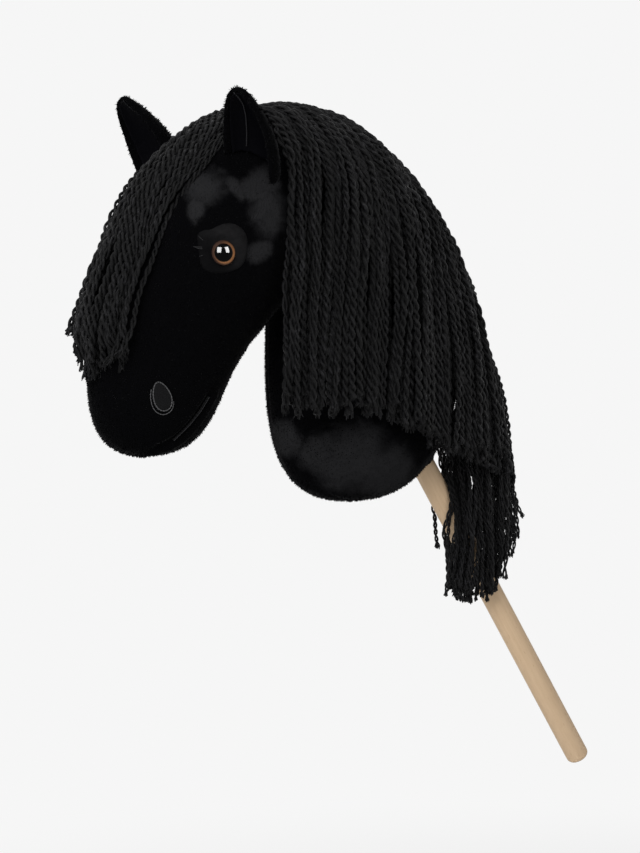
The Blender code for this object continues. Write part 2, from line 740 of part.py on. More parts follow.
def make_ears():
    """The cupped plush ears, and their smooth linings inside a plush rim."""
    sheet = ear_sheet()
    outer = copy_of(sheet, "ear_outer_form", CUTTERS)
    give_wall(outer, EAR_CLOTH, -1)
    cut(outer, on_plush)
    left = finish(applied(outer, "ear_outer_left", PARTS), BLACK_PLUSH)
    finish(other_side(left, "ear_outer_right"), BLACK_PLUSH)
    bm = bmesh.new()
    bm.from_mesh(sheet.data)
    rim = [face for face in bm.faces if any(edge.is_boundary for edge in face.edges)]
    bmesh.ops.delete(bm, geom=rim, context="FACES")
    lining = mesh_object("ear_lining_form", bm, CUTTERS)
    clear = lining.modifiers.new("clear", "DISPLACE")
    clear.direction = "NORMAL"
    clear.mid_level = 0.0
    clear.strength = EAR_LINING_GAP
    give_wall(lining, EAR_LINING_CLOTH, 1)
    cut(lining, on_plush)
    left = finish(applied(lining, "ear_lining_left", PARTS), BLACK_SATIN)
    finish(other_side(left, "ear_lining_right"), BLACK_SATIN)


make_ears()


def leaf(centre, length, width, tilt, sharp):
    """A pointed oval outline: sharp moves the widest place towards its far end."""
    points = []
    for i in range(LEAF_POINTS):
        turn = 2 * math.pi * i / LEAF_POINTS
        x = math.cos(turn) * length / 2
        y = math.sin(turn) * width / 2 * (1 + sharp * math.cos(turn))
        points.append(
            (
                centre[0] + x * math.cos(tilt) - y * math.sin(tilt),
                centre[1] + x * math.sin(tilt) + y * math.cos(tilt),
            )
        )
    return points


def strip_outline(line, width):
    """The outline of a line of (x, z) points drawn this wide."""
    sides = ([], [])
    for i, (x, z) in enumerate(line):
        before = line[max(i - 1, 0)]
        after = line[min(i + 1, len(line) - 1)]
        run = Vector((after[0] - before[0], after[1] - before[1])).normalized()
        sides[0].append((x - run.y * width / 2, z + run.x * width / 2))
        sides[1].append((x + run.y * width / 2, z - run.x * width / 2))
    return sides[0] + sides[1][::-1]


def make_trims():
    """The smooth patches round the eyes and in the nostrils, and the stitched mouth."""
    eye_outline = leaf(EYE_PLACE, EYE_PATCH_LENGTH, EYE_PATCH_HEIGHT, EYE_PATCH_TILT, -0.25)
    nostril_outline = leaf(NOSTRIL_PLACE, NOSTRIL_LENGTH, NOSTRIL_WIDTH, NOSTRIL_TILT, -0.2)
    mouth_outline = strip_outline(MOUTH_LINE, MOUTH_WIDTH)
    for name, outline, thickness, stuff in (
        ("eye_patch", eye_outline, PATCH_THICKNESS, BLACK_SATIN),
        ("nostril_patch", nostril_outline, PATCH_THICKNESS, GREY_PATCH),
        ("mouth_stitching", mouth_outline, STITCH_HEIGHT, GREY_PATCH),
    ):
        top = body_form(name + "_top", GAP + thickness)
        cut(top, on_plush)
        keep_inside(top, prism(name + "_block", outline, -REACH, 0.0))
        if name == "eye_patch":
            cut(top, EYE_ROOMS[0][0])
        left = finish(applied(top, name + "_left", PARTS), stuff)
        finish(other_side(left, name + "_right"), stuff)


make_trims()
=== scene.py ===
"""Hobby horse: how the black plush head, its yarn mane and its beech stick look.

Metres, +Z up. The horse faces -X, and its left side, which the photograph shows, is at -Y.
"""

import math
import random

import bmesh
import bpy
from mathutils import Matrix, Vector, noise
from mathutils.bvhtree import BVHTree


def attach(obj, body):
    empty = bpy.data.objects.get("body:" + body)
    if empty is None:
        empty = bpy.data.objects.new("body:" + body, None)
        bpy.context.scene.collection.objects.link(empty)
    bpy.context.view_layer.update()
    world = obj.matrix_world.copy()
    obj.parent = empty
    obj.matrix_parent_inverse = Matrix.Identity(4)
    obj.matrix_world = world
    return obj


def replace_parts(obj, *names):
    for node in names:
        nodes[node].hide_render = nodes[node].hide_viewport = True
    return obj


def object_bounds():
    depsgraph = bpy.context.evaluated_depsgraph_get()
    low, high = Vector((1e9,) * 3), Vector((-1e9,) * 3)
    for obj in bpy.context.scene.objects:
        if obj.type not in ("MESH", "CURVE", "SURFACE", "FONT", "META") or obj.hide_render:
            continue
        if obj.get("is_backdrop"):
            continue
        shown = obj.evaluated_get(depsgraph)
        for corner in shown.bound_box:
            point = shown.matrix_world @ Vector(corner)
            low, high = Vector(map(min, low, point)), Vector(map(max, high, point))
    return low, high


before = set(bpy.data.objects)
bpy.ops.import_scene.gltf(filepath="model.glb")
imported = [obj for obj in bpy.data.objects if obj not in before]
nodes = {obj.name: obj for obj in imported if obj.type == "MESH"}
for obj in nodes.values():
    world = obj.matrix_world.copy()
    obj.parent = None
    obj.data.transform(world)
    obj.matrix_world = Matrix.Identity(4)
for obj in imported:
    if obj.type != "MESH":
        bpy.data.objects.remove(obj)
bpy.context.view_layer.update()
stage = bpy.context.scene

# The view. A long lens from the horse's left front, a little above the eye, as a shop takes its
# pictures. The lens takes in the height of the frame at the distance of the horse.
VIEW_AZIMUTH = math.radians(-40)
VIEW_ELEVATION = math.radians(3)
VIEW_DISTANCE = 3.2
FRAME_HEIGHT = 0.9298
SENSOR_MM = 36
TARGET_RIGHT = -0.2024
TARGET_UP = 0.2109

level_out = math.cos(VIEW_ELEVATION)
away = Vector(
    (math.sin(VIEW_AZIMUTH) * level_out, -math.cos(VIEW_AZIMUTH) * level_out, math.sin(VIEW_ELEVATION))
)
view_right = Vector((math.cos(VIEW_AZIMUTH), math.sin(VIEW_AZIMUTH), 0))
view_up = away.cross(view_right)
target = view_right * TARGET_RIGHT + view_up * TARGET_UP
camera = bpy.data.objects.new("camera", bpy.data.cameras.new("camera"))
camera.data.sensor_width = SENSOR_MM
camera.data.lens = SENSOR_MM * VIEW_DISTANCE / FRAME_HEIGHT
camera.data.clip_end = 100
facing = (-away).to_track_quat("-Z", "Y").to_matrix().to_4x4()
camera.matrix_world = Matrix.Translation(target + away * VIEW_DISTANCE) @ facing
stage.collection.objects.link(camera)
stage.camera = camera
stage.view_settings.view_transform = "Standard"

# The studio. A pale floor below the toy, which hangs in the air as its grip is held, and a pale
# surround. The camera sees both in one even tone, and near the toy the floor keeps its shadow.
PALE = (0.922, 0.922, 0.922, 1)
SOFT_LEVEL = 0.30
FLOOR_TONE = (0.80, 0.80, 0.80, 1)
FLOOR_LEVEL = -0.45
FLOOR_RADIUS = 3.0
SHADOW_INNER = 0.7
SHADOW_OUTER = 1.4
SHADOW_SHARE = 0.18


def feed(tree, socket, source):
    """Links a socket to another one, or gives it a value."""
    if isinstance(source, bpy.types.NodeSocket):
        tree.links.new(source, socket)
    else:
        socket.default_value = source


def put(tree, kind, place, *inputs, **values):
    """A shader node: values are settings or sockets by name, inputs are its sockets in order."""
    node = tree.nodes.new(kind)
    node.location = place
    for name, value in values.items():
        socket = node.inputs.get(name.replace("_", " "))
        if socket is None:
            setattr(node, name, value)
        else:
            feed(tree, socket, value)
    for socket, value in zip(node.inputs, inputs):
        feed(tree, socket, value)
    return node


def sums(tree, place, operation, *inputs):
    return put(tree, "ShaderNodeMath", place, *inputs, operation=operation).outputs[0]


def vectors(tree, place, operation, *inputs):
    """A sum on vectors, whose answer is a number where it measures something."""
    node = put(tree, "ShaderNodeVectorMath", place, *inputs, operation=operation)
    return node.outputs["Value" if operation in ("LENGTH", "DISTANCE", "DOT_PRODUCT") else "Vector"]


def ramp(tree, place, value, start, end, low=0.0, high=1.0, kind="SMOOTHSTEP"):
    """Goes from low to high as a value goes from start to end."""
    node = put(tree, "ShaderNodeMapRange", place, value, start, end, low, high, interpolation_type=kind)
    return node.outputs[0]


def object_place(tree, place=(-1500, 0)):
    return put(tree, "ShaderNodeTexCoord", place).outputs["Object"]


def seen_rays(tree):
    """1 for rays that show the surround itself: to the camera, in a gloss or through glass."""
    path = put(tree, "ShaderNodeLightPath", (-900, 300)).outputs
    through = sums(tree, (-700, 300), "MAXIMUM", path["Is Camera Ray"], path["Is Transmission Ray"])
    return sums(tree, (-500, 300), "MAXIMUM", through, path["Is Glossy Ray"])


def bare(holder):
    """The empty node tree of a world or a material."""
    holder.use_nodes = True
    holder.node_tree.nodes.clear()
    return holder.node_tree


def object_of(name, bm):
    mesh = bpy.data.meshes.new(name)
    bm.to_mesh(mesh)
    bm.free()
    made = bpy.data.objects.new(name, mesh)
    stage.collection.objects.link(made)
    return made


stage.world = bpy.data.worlds.new("studio")
tree = bare(stage.world)
soft = put(tree, "ShaderNodeBackground", (-300, 0), Color=(1, 1, 1, 1), Strength=SOFT_LEVEL)
surround = put(tree, "ShaderNodeBackground", (-300, -200), Color=PALE, Strength=1.0)
either = put(tree, "ShaderNodeMixShader", (0, 0), seen_rays(tree), soft.outputs[0], surround.outputs[0])
put(tree, "ShaderNodeOutputWorld", (200, 0), either.outputs[0])

bm = bmesh.new()
bmesh.ops.create_circle(bm, cap_ends=True, segments=96, radius=FLOOR_RADIUS)
bmesh.ops.translate(bm, verts=bm.verts, vec=(0, 0, FLOOR_LEVEL))
floor = object_of("floor", bm)
floor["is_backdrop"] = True
paint = bpy.data.materials.new("studio_floor")
tree = bare(paint)
level = vectors(tree, (-900, -200), "MULTIPLY", object_place(tree), (1, 1, 0))
reach = vectors(tree, (-700, -200), "LENGTH", level)
fade = ramp(tree, (-500, -200), reach, SHADOW_INNER, SHADOW_OUTER, 1 - SHADOW_SHARE)
shown = sums(tree, (-300, 0), "MULTIPLY", seen_rays(tree), fade)
lit = put(tree, "ShaderNodeBsdfDiffuse", (-300, -200), Color=FLOOR_TONE)
even = put(tree, "ShaderNodeEmission", (-300, -400), Color=PALE, Strength=1.0)
either = put(tree, "ShaderNodeMixShader", (0, 0), shown, lit.outputs[0], even.outputs[0])
put(tree, "ShaderNodeOutputMaterial", (200, 0), either.outputs[0])
floor.data.materials.append(paint)

# Soft boxes: name, side to the camera's right, height above the toy's middle, distance from the toy
# towards the camera, width, height, power, and how bright a card the eyes see in its place. Only a
# mirror-sharp gloss sees the cards.
CARD_SHARE = 1.30
SOFT_BOXES = (
    ("box_left", -0.54, 1.15, 2.24, 1.0, 1.4, 42, 240),
    ("box_right", 1.62, 1.09, 1.34, 0.9, 1.3, 9, 240),
    ("box_front", -1.4, 0.2, 1.9, 1.2, 1.2, 16, 0),
    ("box_top", 0.1, 2.3, 0.2, 1.6, 1.2, 3, 0),
    ("box_back", 1.2, 1.3, -1.6, 1.0, 1.4, 4, 0),
    ("box_far", -0.9, 0.9, -2.0, 1.2, 1.4, 18, 0),
)
for name, aside, above, ahead, wide, high, power, card_glow in SOFT_BOXES:
    lamp = bpy.data.lights.new(name, "AREA")
    lamp.shape = "RECTANGLE"
    lamp.size = wide
    lamp.size_y = high
    lamp.energy = power
    box = bpy.data.objects.new(name, lamp)
    spot = target + view_right * aside + Vector((0, 0, above)) + away * ahead
    stand = Matrix.Translation(spot) @ (target - spot).to_track_quat("-Z", "Y").to_matrix().to_4x4()
    box.matrix_world = stand
    box.visible_glossy = card_glow > 0
    stage.collection.objects.link(box)
    if not card_glow:
        continue
    bm = bmesh.new()
    bmesh.ops.create_grid(bm, x_segments=1, y_segments=1, size=0.5)
    bm.transform(stand @ Matrix.Diagonal((wide * CARD_SHARE, high * CARD_SHARE, 1, 1)))
    card = object_of(name + "_card", bm)
    card.visible_camera = card.visible_diffuse = card.visible_shadow = card.visible_transmission = False
    card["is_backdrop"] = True
    glow = bpy.data.materials.new(name + "_card")
    tree = bare(glow)
    mirrored = put(tree, "ShaderNodeLightPath", (-400, 0)).outputs["Is Singular Ray"]
    level = sums(tree, (-200, 0), "MULTIPLY", mirrored, card_glow)
    shine = put(tree, "ShaderNodeEmission", (0, 0), Color=(1, 1, 1, 1), Strength=level)
    put(tree, "ShaderNodeOutputMaterial", (200, 0), shine.outputs[0])
    card.data.materials.append(glow)

# The stick. A bare beech dowel, sanded and rounded at its ends. Its grain runs along it, with the
# short dark flecks that beech shows, and the hand has polished it a little.
LEAN = math.radians(34.8)
STICK_UP = Vector((-math.sin(LEAN), 0, math.cos(LEAN)))
BEECH_PALE = (0.600, 0.446, 0.296, 1)
BEECH_DARK = (0.475, 0.336, 0.210, 1)
BEECH_FLECK = (0.300, 0.185, 0.100, 1)


def material_for(name, **sockets):
    """A material with one Principled shader, whose sockets are set by name."""
    made = bpy.data.materials.new(name)
    made.use_nodes = True
    shader = made.node_tree.nodes["Principled BSDF"]
    lead(made.node_tree, shader, **sockets)
    return made, made.node_tree, shader


def lead(tree, shader, **sources):
    for name, source in sources.items():
        feed(tree, shader.inputs[name.replace("_", " ")], source)


def blend(tree, place, mask, first, second):
    """A colour between two others, where a mask is 0 the first."""
    node = put(tree, "ShaderNodeMix", place, mask, data_type="RGBA")
    feed(tree, node.inputs[6], first)
    feed(tree, node.inputs[7], second)
    return node.outputs[2]


def along(tree, turn, squeeze):
    """Object coordinates turned about Y and then squeezed, for grain that runs one way."""
    place = object_place(tree)
    turned = put(tree, "ShaderNodeMapping", (-1200, 0), place, vector_type="TEXTURE", Rotation=(0, turn, 0))
    return put(tree, "ShaderNodeMapping", (-1000, 0), turned.outputs[0], Scale=squeeze).outputs[0]


def effect(name, inputs, outputs):
    """An empty group for an effect that several materials share, with its way in and out."""
    group = bpy.data.node_groups.new(name, "ShaderNodeTree")
    for way, sockets in (("INPUT", inputs), ("OUTPUT", outputs)):
        for label, kind in sockets.items():
            group.interface.new_socket(label, in_out=way, socket_type="NodeSocket" + kind)
    return group, group.nodes.new("NodeGroupInput").outputs, group.nodes.new("NodeGroupOutput").inputs


# Fine relief of grain, fibres or threads, and where it is high
relief, given, result = effect(
    "fine_relief",
    {
        "Vector": "Vector", "Scale": "Float", "Detail": "Float", "Roughness": "Float",
        "Strength": "Float", "Distance": "Float",
    },
    {"Mask": "Float", "Normal": "Vector"},
)
rough = put(
    relief, "ShaderNodeTexNoise", (-400, 0),
    Vector=given["Vector"], Scale=given["Scale"], Detail=given["Detail"], Roughness=given["Roughness"],
)
raised = put(
    relief, "ShaderNodeBump", (-100, 0),
    Strength=given["Strength"], Distance=given["Distance"], Height=rough.outputs[0],
)
feed(relief, result["Mask"], rough.outputs[0])
feed(relief, result["Normal"], raised.outputs[0])


def fine(tree, way, scale, detail, strength, distance, roughness=0.5):
    """The shared relief at its own scale and depth: its mask and its normal."""
    node = put(
        tree, "ShaderNodeGroup", (-800, -200), node_tree=relief,
        Vector=way, Scale=scale, Detail=detail, Roughness=roughness, Strength=strength, Distance=distance,
    )
    return node.outputs["Mask"], node.outputs["Normal"]


def dress(thing, material):
    thing.data.materials.clear()
    thing.data.materials.append(material)


beech, tree, shader = material_for("beech", Specular_IOR_Level=0.12)
grain, dents = fine(tree, along(tree, -LEAN, (1, 1, 0.045)), 260, 4, 0.25, 0.0003, 0.6)
tone = blend(tree, (-500, 200), grain, BEECH_DARK, BEECH_PALE)
fleck = put(tree, "ShaderNodeTexVoronoi", (-800, -400), Vector=along(tree, -LEAN, (1, 1, 0.16)), Scale=420)
mark = ramp(tree, (-600, -400), fleck.outputs["Distance"], 0.05, 0.16, 0.55, 0.0, "LINEAR")
lead(
    tree, shader,
    Base_Color=blend(tree, (-300, 100), mark, tone, BEECH_FLECK),
    Roughness=ramp(tree, (-300, -100), grain, 0.0, 1.0, 0.42, 0.60, "LINEAR"),
    Normal=dents,
)
dress(nodes["stick"], beech)

# The sleeve and its pad. Black plain cotton, sewn shut at the top, with a disc of felt inside that
# the stick bears on. Only the sleeve's mouth shows, and the rest when the head comes off.
COTTON_PALE = (0.014, 0.014, 0.016, 1)
COTTON_DARK = (0.005, 0.005, 0.006, 1)
FELT_PALE = (0.36, 0.35, 0.34, 1)
FELT_DARK = (0.25, 0.24, 0.23, 1)
SLEEVE_VOXEL = 0.0012
SLEEVE_PUCKER = 0.0006
SLEEVE_CREASES = 70
FELT_PUCKER = 0.0002
FELT_CREASES = 220

# Plain weave: threads over and under in two directions
weave, given, result = effect(
    "plain_weave",
    {"Vector": "Vector", "Scale": "Float", "Pale": "Color", "Dark": "Color"},
    {"Color": "Color", "Normal": "Vector"},
)
threads = [
    put(
        weave, "ShaderNodeTexWave", (-700, high), bands_direction=axis,
        Vector=given["Vector"], Scale=given["Scale"], Distortion=0.4,
    )
    for axis, high in (("X", 200), ("Z", -100))
]
over = sums(weave, (-450, 100), "MULTIPLY", threads[0].outputs["Fac"], threads[1].outputs["Fac"])
raised = put(weave, "ShaderNodeBump", (-250, -100), Strength=0.5, Distance=0.0003, Height=over)
feed(weave, result["Color"], blend(weave, (-250, 200), over, given["Dark"], given["Pale"]))
feed(weave, result["Normal"], raised.outputs[0])


def woven(name, pale, dark, count, roughness):
    """A plain woven cloth with count threads to a metre."""
    made, tree, shader = material_for(name, Roughness=roughness, Specular_IOR_Level=0.2)
    cloth = put(
        tree, "ShaderNodeGroup", (-300, 0), node_tree=weave,
        Vector=object_place(tree), Scale=count / 20, Pale=pale, Dark=dark,
    )
    lead(tree, shader, Base_Color=cloth.outputs["Color"], Normal=cloth.outputs["Normal"])
    return made


def welded(names):
    """CAD solids in one bmesh, with each solid's loose triangles joined."""
    bm = bmesh.new()
    for name in names:
        bm.from_mesh(nodes[name].data)
    bmesh.ops.remove_doubles(bm, verts=bm.verts, dist=0.000001)
    return bm


def piece(name, bm):
    """A new object from a bmesh, smooth shaded, that rides on the head."""
    made = object_of(name, bm)
    made.data.shade_smooth()
    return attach(made, "head")


def finished(thing, material, slot, *solids):
    """Dresses a piece and hides the CAD solids it stands for; slot, what it is made of, is not used."""
    dress(thing, material)
    if solids:
        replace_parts(thing, *solids)
    return thing


def solid_mesh(thing):
    """A mesh of the object as its modifiers or its curve give it."""
    bpy.context.view_layer.update()
    mesh = bpy.data.meshes.new_from_object(thing.evaluated_get(bpy.context.evaluated_depsgraph_get()))
    mesh.shade_smooth()
    return mesh


def settled(thing):
    """Fixes what an object's modifiers do, and takes them off."""
    mesh = solid_mesh(thing)
    thing.modifiers.clear()
    old = thing.data
    thing.data = mesh
    bpy.data.meshes.remove(old)
    mesh.name = thing.name
    return thing


def skin_over(name, names, voxel, smoothing):
    """One closed skin round some CAD solids, with their facets smoothed away."""
    skin = piece(name, welded(names))
    remesh = skin.modifiers.new("remesh", "REMESH")
    remesh.mode = "VOXEL"
    remesh.voxel_size = voxel
    settled(skin)
    bm = bmesh.new()
    bm.from_mesh(skin.data)
    for _ in range(smoothing):
        bmesh.ops.smooth_vert(
            bm, verts=bm.verts, factor=0.5, use_axis_x=True, use_axis_y=True, use_axis_z=True
        )
    bm.to_mesh(skin.data)
    bm.free()
    return skin


def puckered(thing, size, depth):
    """Moves a piece's surface in and out a little, as cloth that isn't stretched lies."""
    normals = [v.normal.copy() for v in thing.data.vertices]
    for vert, normal in zip(thing.data.vertices, normals):
        spot = Vector((vert.co.x * size, vert.co.y * size, vert.co.z * size * 0.5))
        vert.co += normal * noise.noise(spot) * depth
    return thing


sleeve = puckered(skin_over("sleeve_cloth", ["stick_sleeve"], SLEEVE_VOXEL, 2), SLEEVE_CREASES, SLEEVE_PUCKER)
finished(sleeve, woven("sleeve_cotton", COTTON_PALE, COTTON_DARK, 1400, 0.9), "sleeve_cotton", "stick_sleeve")
pad = puckered(skin_over("sleeve_felt", ["sleeve_end_pad"], SLEEVE_VOXEL, 1), FELT_CREASES, FELT_PUCKER)
finished(pad, woven("pad_felt", FELT_PALE, FELT_DARK, 500, 0.95), "felt", "sleeve_end_pad")

# The head and the neck. Black short plush, cut as two side panels with a gusset down the face and
# another from the lips down the throat, sewn, turned and filled with fibre until it is firm.
COVER_NODES = (
    "head_stuffing", "neck_stuffing", "face_gusset", "throat_gusset",
    "side_panel_left", "side_panel_right",
)
COVER_VOXEL = 0.004
COVER_SHRINK = 0.0015
SEAM_REACH = 0.0032
SEAM_DEPTH = 0.0012
PRESSURE = 4.0
FILL_FRAMES = 20
SWELL_LIMIT = 0.005
MOUTH_LINE = ((-0.447, 0.258), (-0.457, 0.245), (-0.469, 0.231), (-0.483, 0.217), (-0.498, 0.207))
MOUTH_WIDTH = 0.0042
MOUTH_DEPTH = 0.0042
MOUTH_BACK = -0.43
MOUTH_TOP = 0.28
LIP_RISE = 0.0016
LIP_ABOVE = MOUTH_WIDTH * 1.6
LIP_REACH = 0.014


def tree_of(names):
    bm = welded(names)
    found = BVHTree.FromBMesh(bm)
    bm.free()
    return found


def nearness(trees, reach):
    """How close a point is to every one of some surfaces: 1 on all of them, 0 past reach."""

    def at(point):
        far = 0.0
        for tree in trees:
            hit = tree.find_nearest(point, reach * 2)
            if hit[0] is None:
                return 0.0
            far = max(far, hit[3])
        return max(0.0, 1 - far / reach)

    return at


def line_distance(x, z, line):
    """Distance to a line of (x, z) points, and how far above it the point is."""
    best = (1.0, 0.0)
    here = Vector((x, z))
    for start, end in zip(line, line[1:]):
        a, b = Vector(start), Vector(end)
        share = max(0.0, min(1.0, (here - a).dot(b - a) / (b - a).length_squared))
        gap = here - a.lerp(b, share)
        if gap.length < best[0]:
            above = (b - a).orthogonal().normalized()
            best = (gap.length, gap.dot(above))
    return best


cover = skin_over("plush_cover", COVER_NODES, COVER_VOXEL, 12)
gussets = [tree_of(["face_gusset", "throat_gusset"]), tree_of(["side_panel_left", "side_panel_right"])]
seam_at = nearness(gussets, SEAM_REACH)
lip_at = nearness([tree_of(["face_gusset"]), tree_of(["throat_gusset"])], SEAM_REACH)
seam = [max(seam_at(v.co), lip_at(v.co)) for v in cover.data.vertices]
normals = [v.normal.copy() for v in cover.data.vertices]
for vert, normal in zip(cover.data.vertices, normals):
    vert.co -= normal * COVER_SHRINK
held = cover.vertex_groups.new(name="seams")
for index, weight in enumerate(seam):
    if weight > 0:
        held.add([index], weight, "REPLACE")
before = [v.co.copy() for v in cover.data.vertices]
cloth = cover.modifiers.new("fill", "CLOTH")
cloth.settings.vertex_group_mass = "seams"
cloth.settings.use_pressure = True
cloth.settings.uniform_pressure_force = PRESSURE
cloth.settings.effector_weights.gravity = 0
cloth.settings.quality = 4
for step in range(1, FILL_FRAMES + 1):
    stage.frame_set(step)
settled(cover)
stage.frame_set(1)
for vert, start in zip(cover.data.vertices, before):
    moved = vert.co - start
    if moved.length > SWELL_LIMIT:
        vert.co = start + moved.normalized() * SWELL_LIMIT
normals = [v.normal.copy() for v in cover.data.vertices]
for index, vert in enumerate(cover.data.vertices):
    push = -SEAM_DEPTH * seam[index]
    if vert.co.x < MOUTH_BACK and vert.co.z < MOUTH_TOP:
        far, above = line_distance(vert.co.x, vert.co.z, MOUTH_LINE)
        push -= MOUTH_DEPTH * math.exp(-((far / MOUTH_WIDTH) ** 2))
        push += LIP_RISE * math.exp(-(((above - LIP_ABOVE) / MOUTH_WIDTH) ** 2)) * (far < LIP_REACH)
    vert.co += normals[index] * push
smooth = cover.modifiers.new("smooth", "SUBSURF")
smooth.levels = smooth.render_levels = 1
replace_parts(cover, *COVER_NODES)

PLUSH_DEEP = (0.0017, 0.0017, 0.0020, 1)
PLUSH_SHEEN_PAINTED = (0.0150, 0.0150, 0.0160, 1)
PLUSH_RIM_SHEEN = (0.0210, 0.0210, 0.0220, 1)
PILE_LEAN = math.radians(25)
PATCH_WARP = 0.036
# Painted sheen: where the pile lies against its nap and catches the light, it is painted pale into the
# plush's colour. The place on the left side, and how far it reaches. The right side has the same.
SHEEN_PATCHES = (
    ((-0.453, -0.052, 0.463), 0.028),
    ((-0.463, -0.050, 0.440), 0.014),
    ((-0.438, -0.056, 0.480), 0.016),
    ((-0.396, -0.080, 0.437), 0.030),
    ((-0.402, -0.076, 0.466), 0.020),
    ((-0.408, -0.080, 0.402), 0.017),
    ((-0.427, -0.065, 0.461), 0.013),
    ((-0.412, -0.070, 0.461), 0.016),
    ((-0.394, -0.076, 0.458), 0.018),
    ((-0.262, -0.055, 0.184), 0.052),
    ((-0.215, -0.052, 0.170), 0.045),
    ((-0.300, -0.035, 0.195), 0.032),
    ((-0.318, -0.005, 0.212), 0.026),
)

plush, tree, shader = material_for(
    "black_plush", Roughness=0.8, Specular_IOR_Level=0.0, Sheen_Weight=0.012, Sheen_Roughness=0.4,
)
place = object_place(tree, (-2400, 400))
# Where the painted sheen patches are looked up is shifted about, which makes their outlines irregular
warp = put(tree, "ShaderNodeTexNoise", (-2000, 700), Vector=place, Scale=26, Detail=3).outputs["Color"]
shift = vectors(tree, (-1800, 700), "MULTIPLY_ADD", warp, [PATCH_WARP] * 3, [-PATCH_WARP / 2] * 3)
warped = vectors(tree, (-1600, 700), "ADD", vectors(tree, (-2200, 400), "ABSOLUTE", place), shift)
sheen_spots = 0.0
for number, (centre, reach) in enumerate(SHEEN_PATCHES):
    high = 400 - 160 * number
    gap = vectors(tree, (-2000, high), "DISTANCE", warped, [abs(value) for value in centre])
    near = ramp(tree, (-1800, high), gap, reach * 1.25, reach * 0.3)
    sheen_spots = sums(tree, (-1600, high), "MAXIMUM", near, sheen_spots)
cloud = put(
    tree, "ShaderNodeTexNoise", (-1400, 300),
    Vector=place, Scale=34, Detail=5, Roughness=0.65, Distortion=1.2,
)
ragged = ramp(tree, (-1200, 300), cloud.outputs["Fac"], 0.3, 0.7, -0.34, 0.10, "LINEAR")
patch = ramp(tree, (-800, 300), sums(tree, (-1000, 300), "ADD", sheen_spots, ragged), 0.0, 1.0)
# Painted sheen: the patches, with ragged edges from a noise, paint the plush paler
tone = blend(tree, (-500, 300), patch, PLUSH_DEEP, PLUSH_SHEEN_PAINTED)
# Painted sheen: the plush is painted paler where its surface turns edge-on, a rim of sheen in its colour
grazing = put(tree, "ShaderNodeLayerWeight", (-800, 600), Blend=0.5).outputs["Facing"]
lead(
    tree, shader,
    Base_Color=blend(tree, (-300, 300), ramp(tree, (-600, 600), grazing, 0.58, 1.0), tone, PLUSH_RIM_SHEEN),
    Normal=fine(tree, along(tree, PILE_LEAN, (1, 1, 0.22)), 900, 2, 0.8, 0.0012)[1],
)
dress(cover, plush)

# The pile. The plush's fibres stand 2 to 3 mm high and lie down towards the nose and the floor.
# Tufts of them are drawn as narrow blades, which give the cloth its soft outline.
TUFT_LENGTH = 0.0034
COVER_TUFT_LENGTH = 0.0021
TUFT_WIDTH = 0.0021
TUFT_SPACING = 0.0029
TUFT_CLUMPS = 130
TUFT_SEED = 7
TUFT_ROOT_DEPTH = 0.0003
STICK_CLEARANCE = 0.022
NAP = Vector((-0.25, 0, -1)).normalized()


def tossed(dice, size):
    return Vector((dice.uniform(-1, 1), dice.uniform(-1, 1), dice.uniform(-1, 1))) * size


def pile_over(name, source, seed, length):
    """Tufts of pile spread over an object's surface."""
    dice = random.Random(seed)
    noise.seed_set(TUFT_SEED)
    bm = bmesh.new()
    corners = source.data.vertices
    for face in source.data.polygons:
        wanted = face.area / TUFT_SPACING**2
        for _ in range(int(wanted + dice.random())):
            a, b, c, d = (corners[face.vertices[i % len(face.vertices)]].co for i in range(4))
            u, v = dice.random(), dice.random()
            root = a.lerp(b, u).lerp(d.lerp(c, u), v)
            along_stick = STICK_UP * root.dot(STICK_UP)
            if (root - along_stick).length < STICK_CLEARANCE:
                continue
            loose = tossed(dice, 1)
            clump = noise.noise_vector(root * TUFT_CLUMPS)
            way = (face.normal * 0.8 + NAP * 0.5 + clump * 0.7 + loose * 0.25).normalized()
            wide = way.cross(face.normal + loose * 0.3).normalized() * TUFT_WIDTH * dice.uniform(0.3, 0.6)
            tip = root + way * length * dice.uniform(0.5, 1.0)
            root = root - face.normal * TUFT_ROOT_DEPTH
            bm.faces.new([bm.verts.new(spot) for spot in (root - wide, root + wide, tip)])
    made = piece(name, bm)
    dress(made, plush)
    return made


pile_over("pile_cover", cover, "cover", COVER_TUFT_LENGTH)

# The ears. Each is a plush back and a smooth black lining sewn face to face and turned, cupped by
# a fold at its root, and sewn into the seam beside the forelock.
# The sides of the head, and the sign that y has on each
SIDES = (("left", -1), ("right", 1))
EAR_VOXEL = 0.0021
LINING_VOXEL = 0.0012
LINING_BLACK = (0.0009, 0.0009, 0.0015, 1)
FOLD_HIGHLIGHT_GREY = (0.0170, 0.0170, 0.0185, 1)
THREAD_RADIUS = 0.00055
STITCH_LENGTH = 0.0030
STITCH_POINTS = 6
# Where the plush, turned round the left ear's front edge, is sewn down on the lining. Its thread is pale
# grey, a painted highlight along that edge.
EAR_FOLD = (
    (-0.4474, -0.0895, 0.5507), (-0.4400, -0.0895, 0.5449), (-0.4322, -0.0856, 0.5387),
    (-0.4238, -0.0785, 0.5296), (-0.4151, -0.0690, 0.5157), (-0.4096, -0.0618, 0.5016),
)

satin, tree, shader = material_for(
    "black_lining", Base_Color=LINING_BLACK, Roughness=0.6, Specular_IOR_Level=0.03,
)
lead(tree, shader, Normal=fine(tree, object_place(tree), 1500, 1, 0.4, 0.0004)[1])
edge_highlight = material_for("turned_edge_highlight", Base_Color=FOLD_HIGHLIGHT_GREY, Roughness=0.7, Specular_IOR_Level=0.03)[0]


def spaced(points, step):
    """The same path with its points a step apart."""
    out = [points[0].copy()]
    left = step
    for start, end in zip(points, points[1:]):
        run = end - start
        length = run.length
        done = 0.0
        while length - done >= left:
            done += left
            out.append(start + run * (done / length))
            left = step
        left -= length - done
    return out


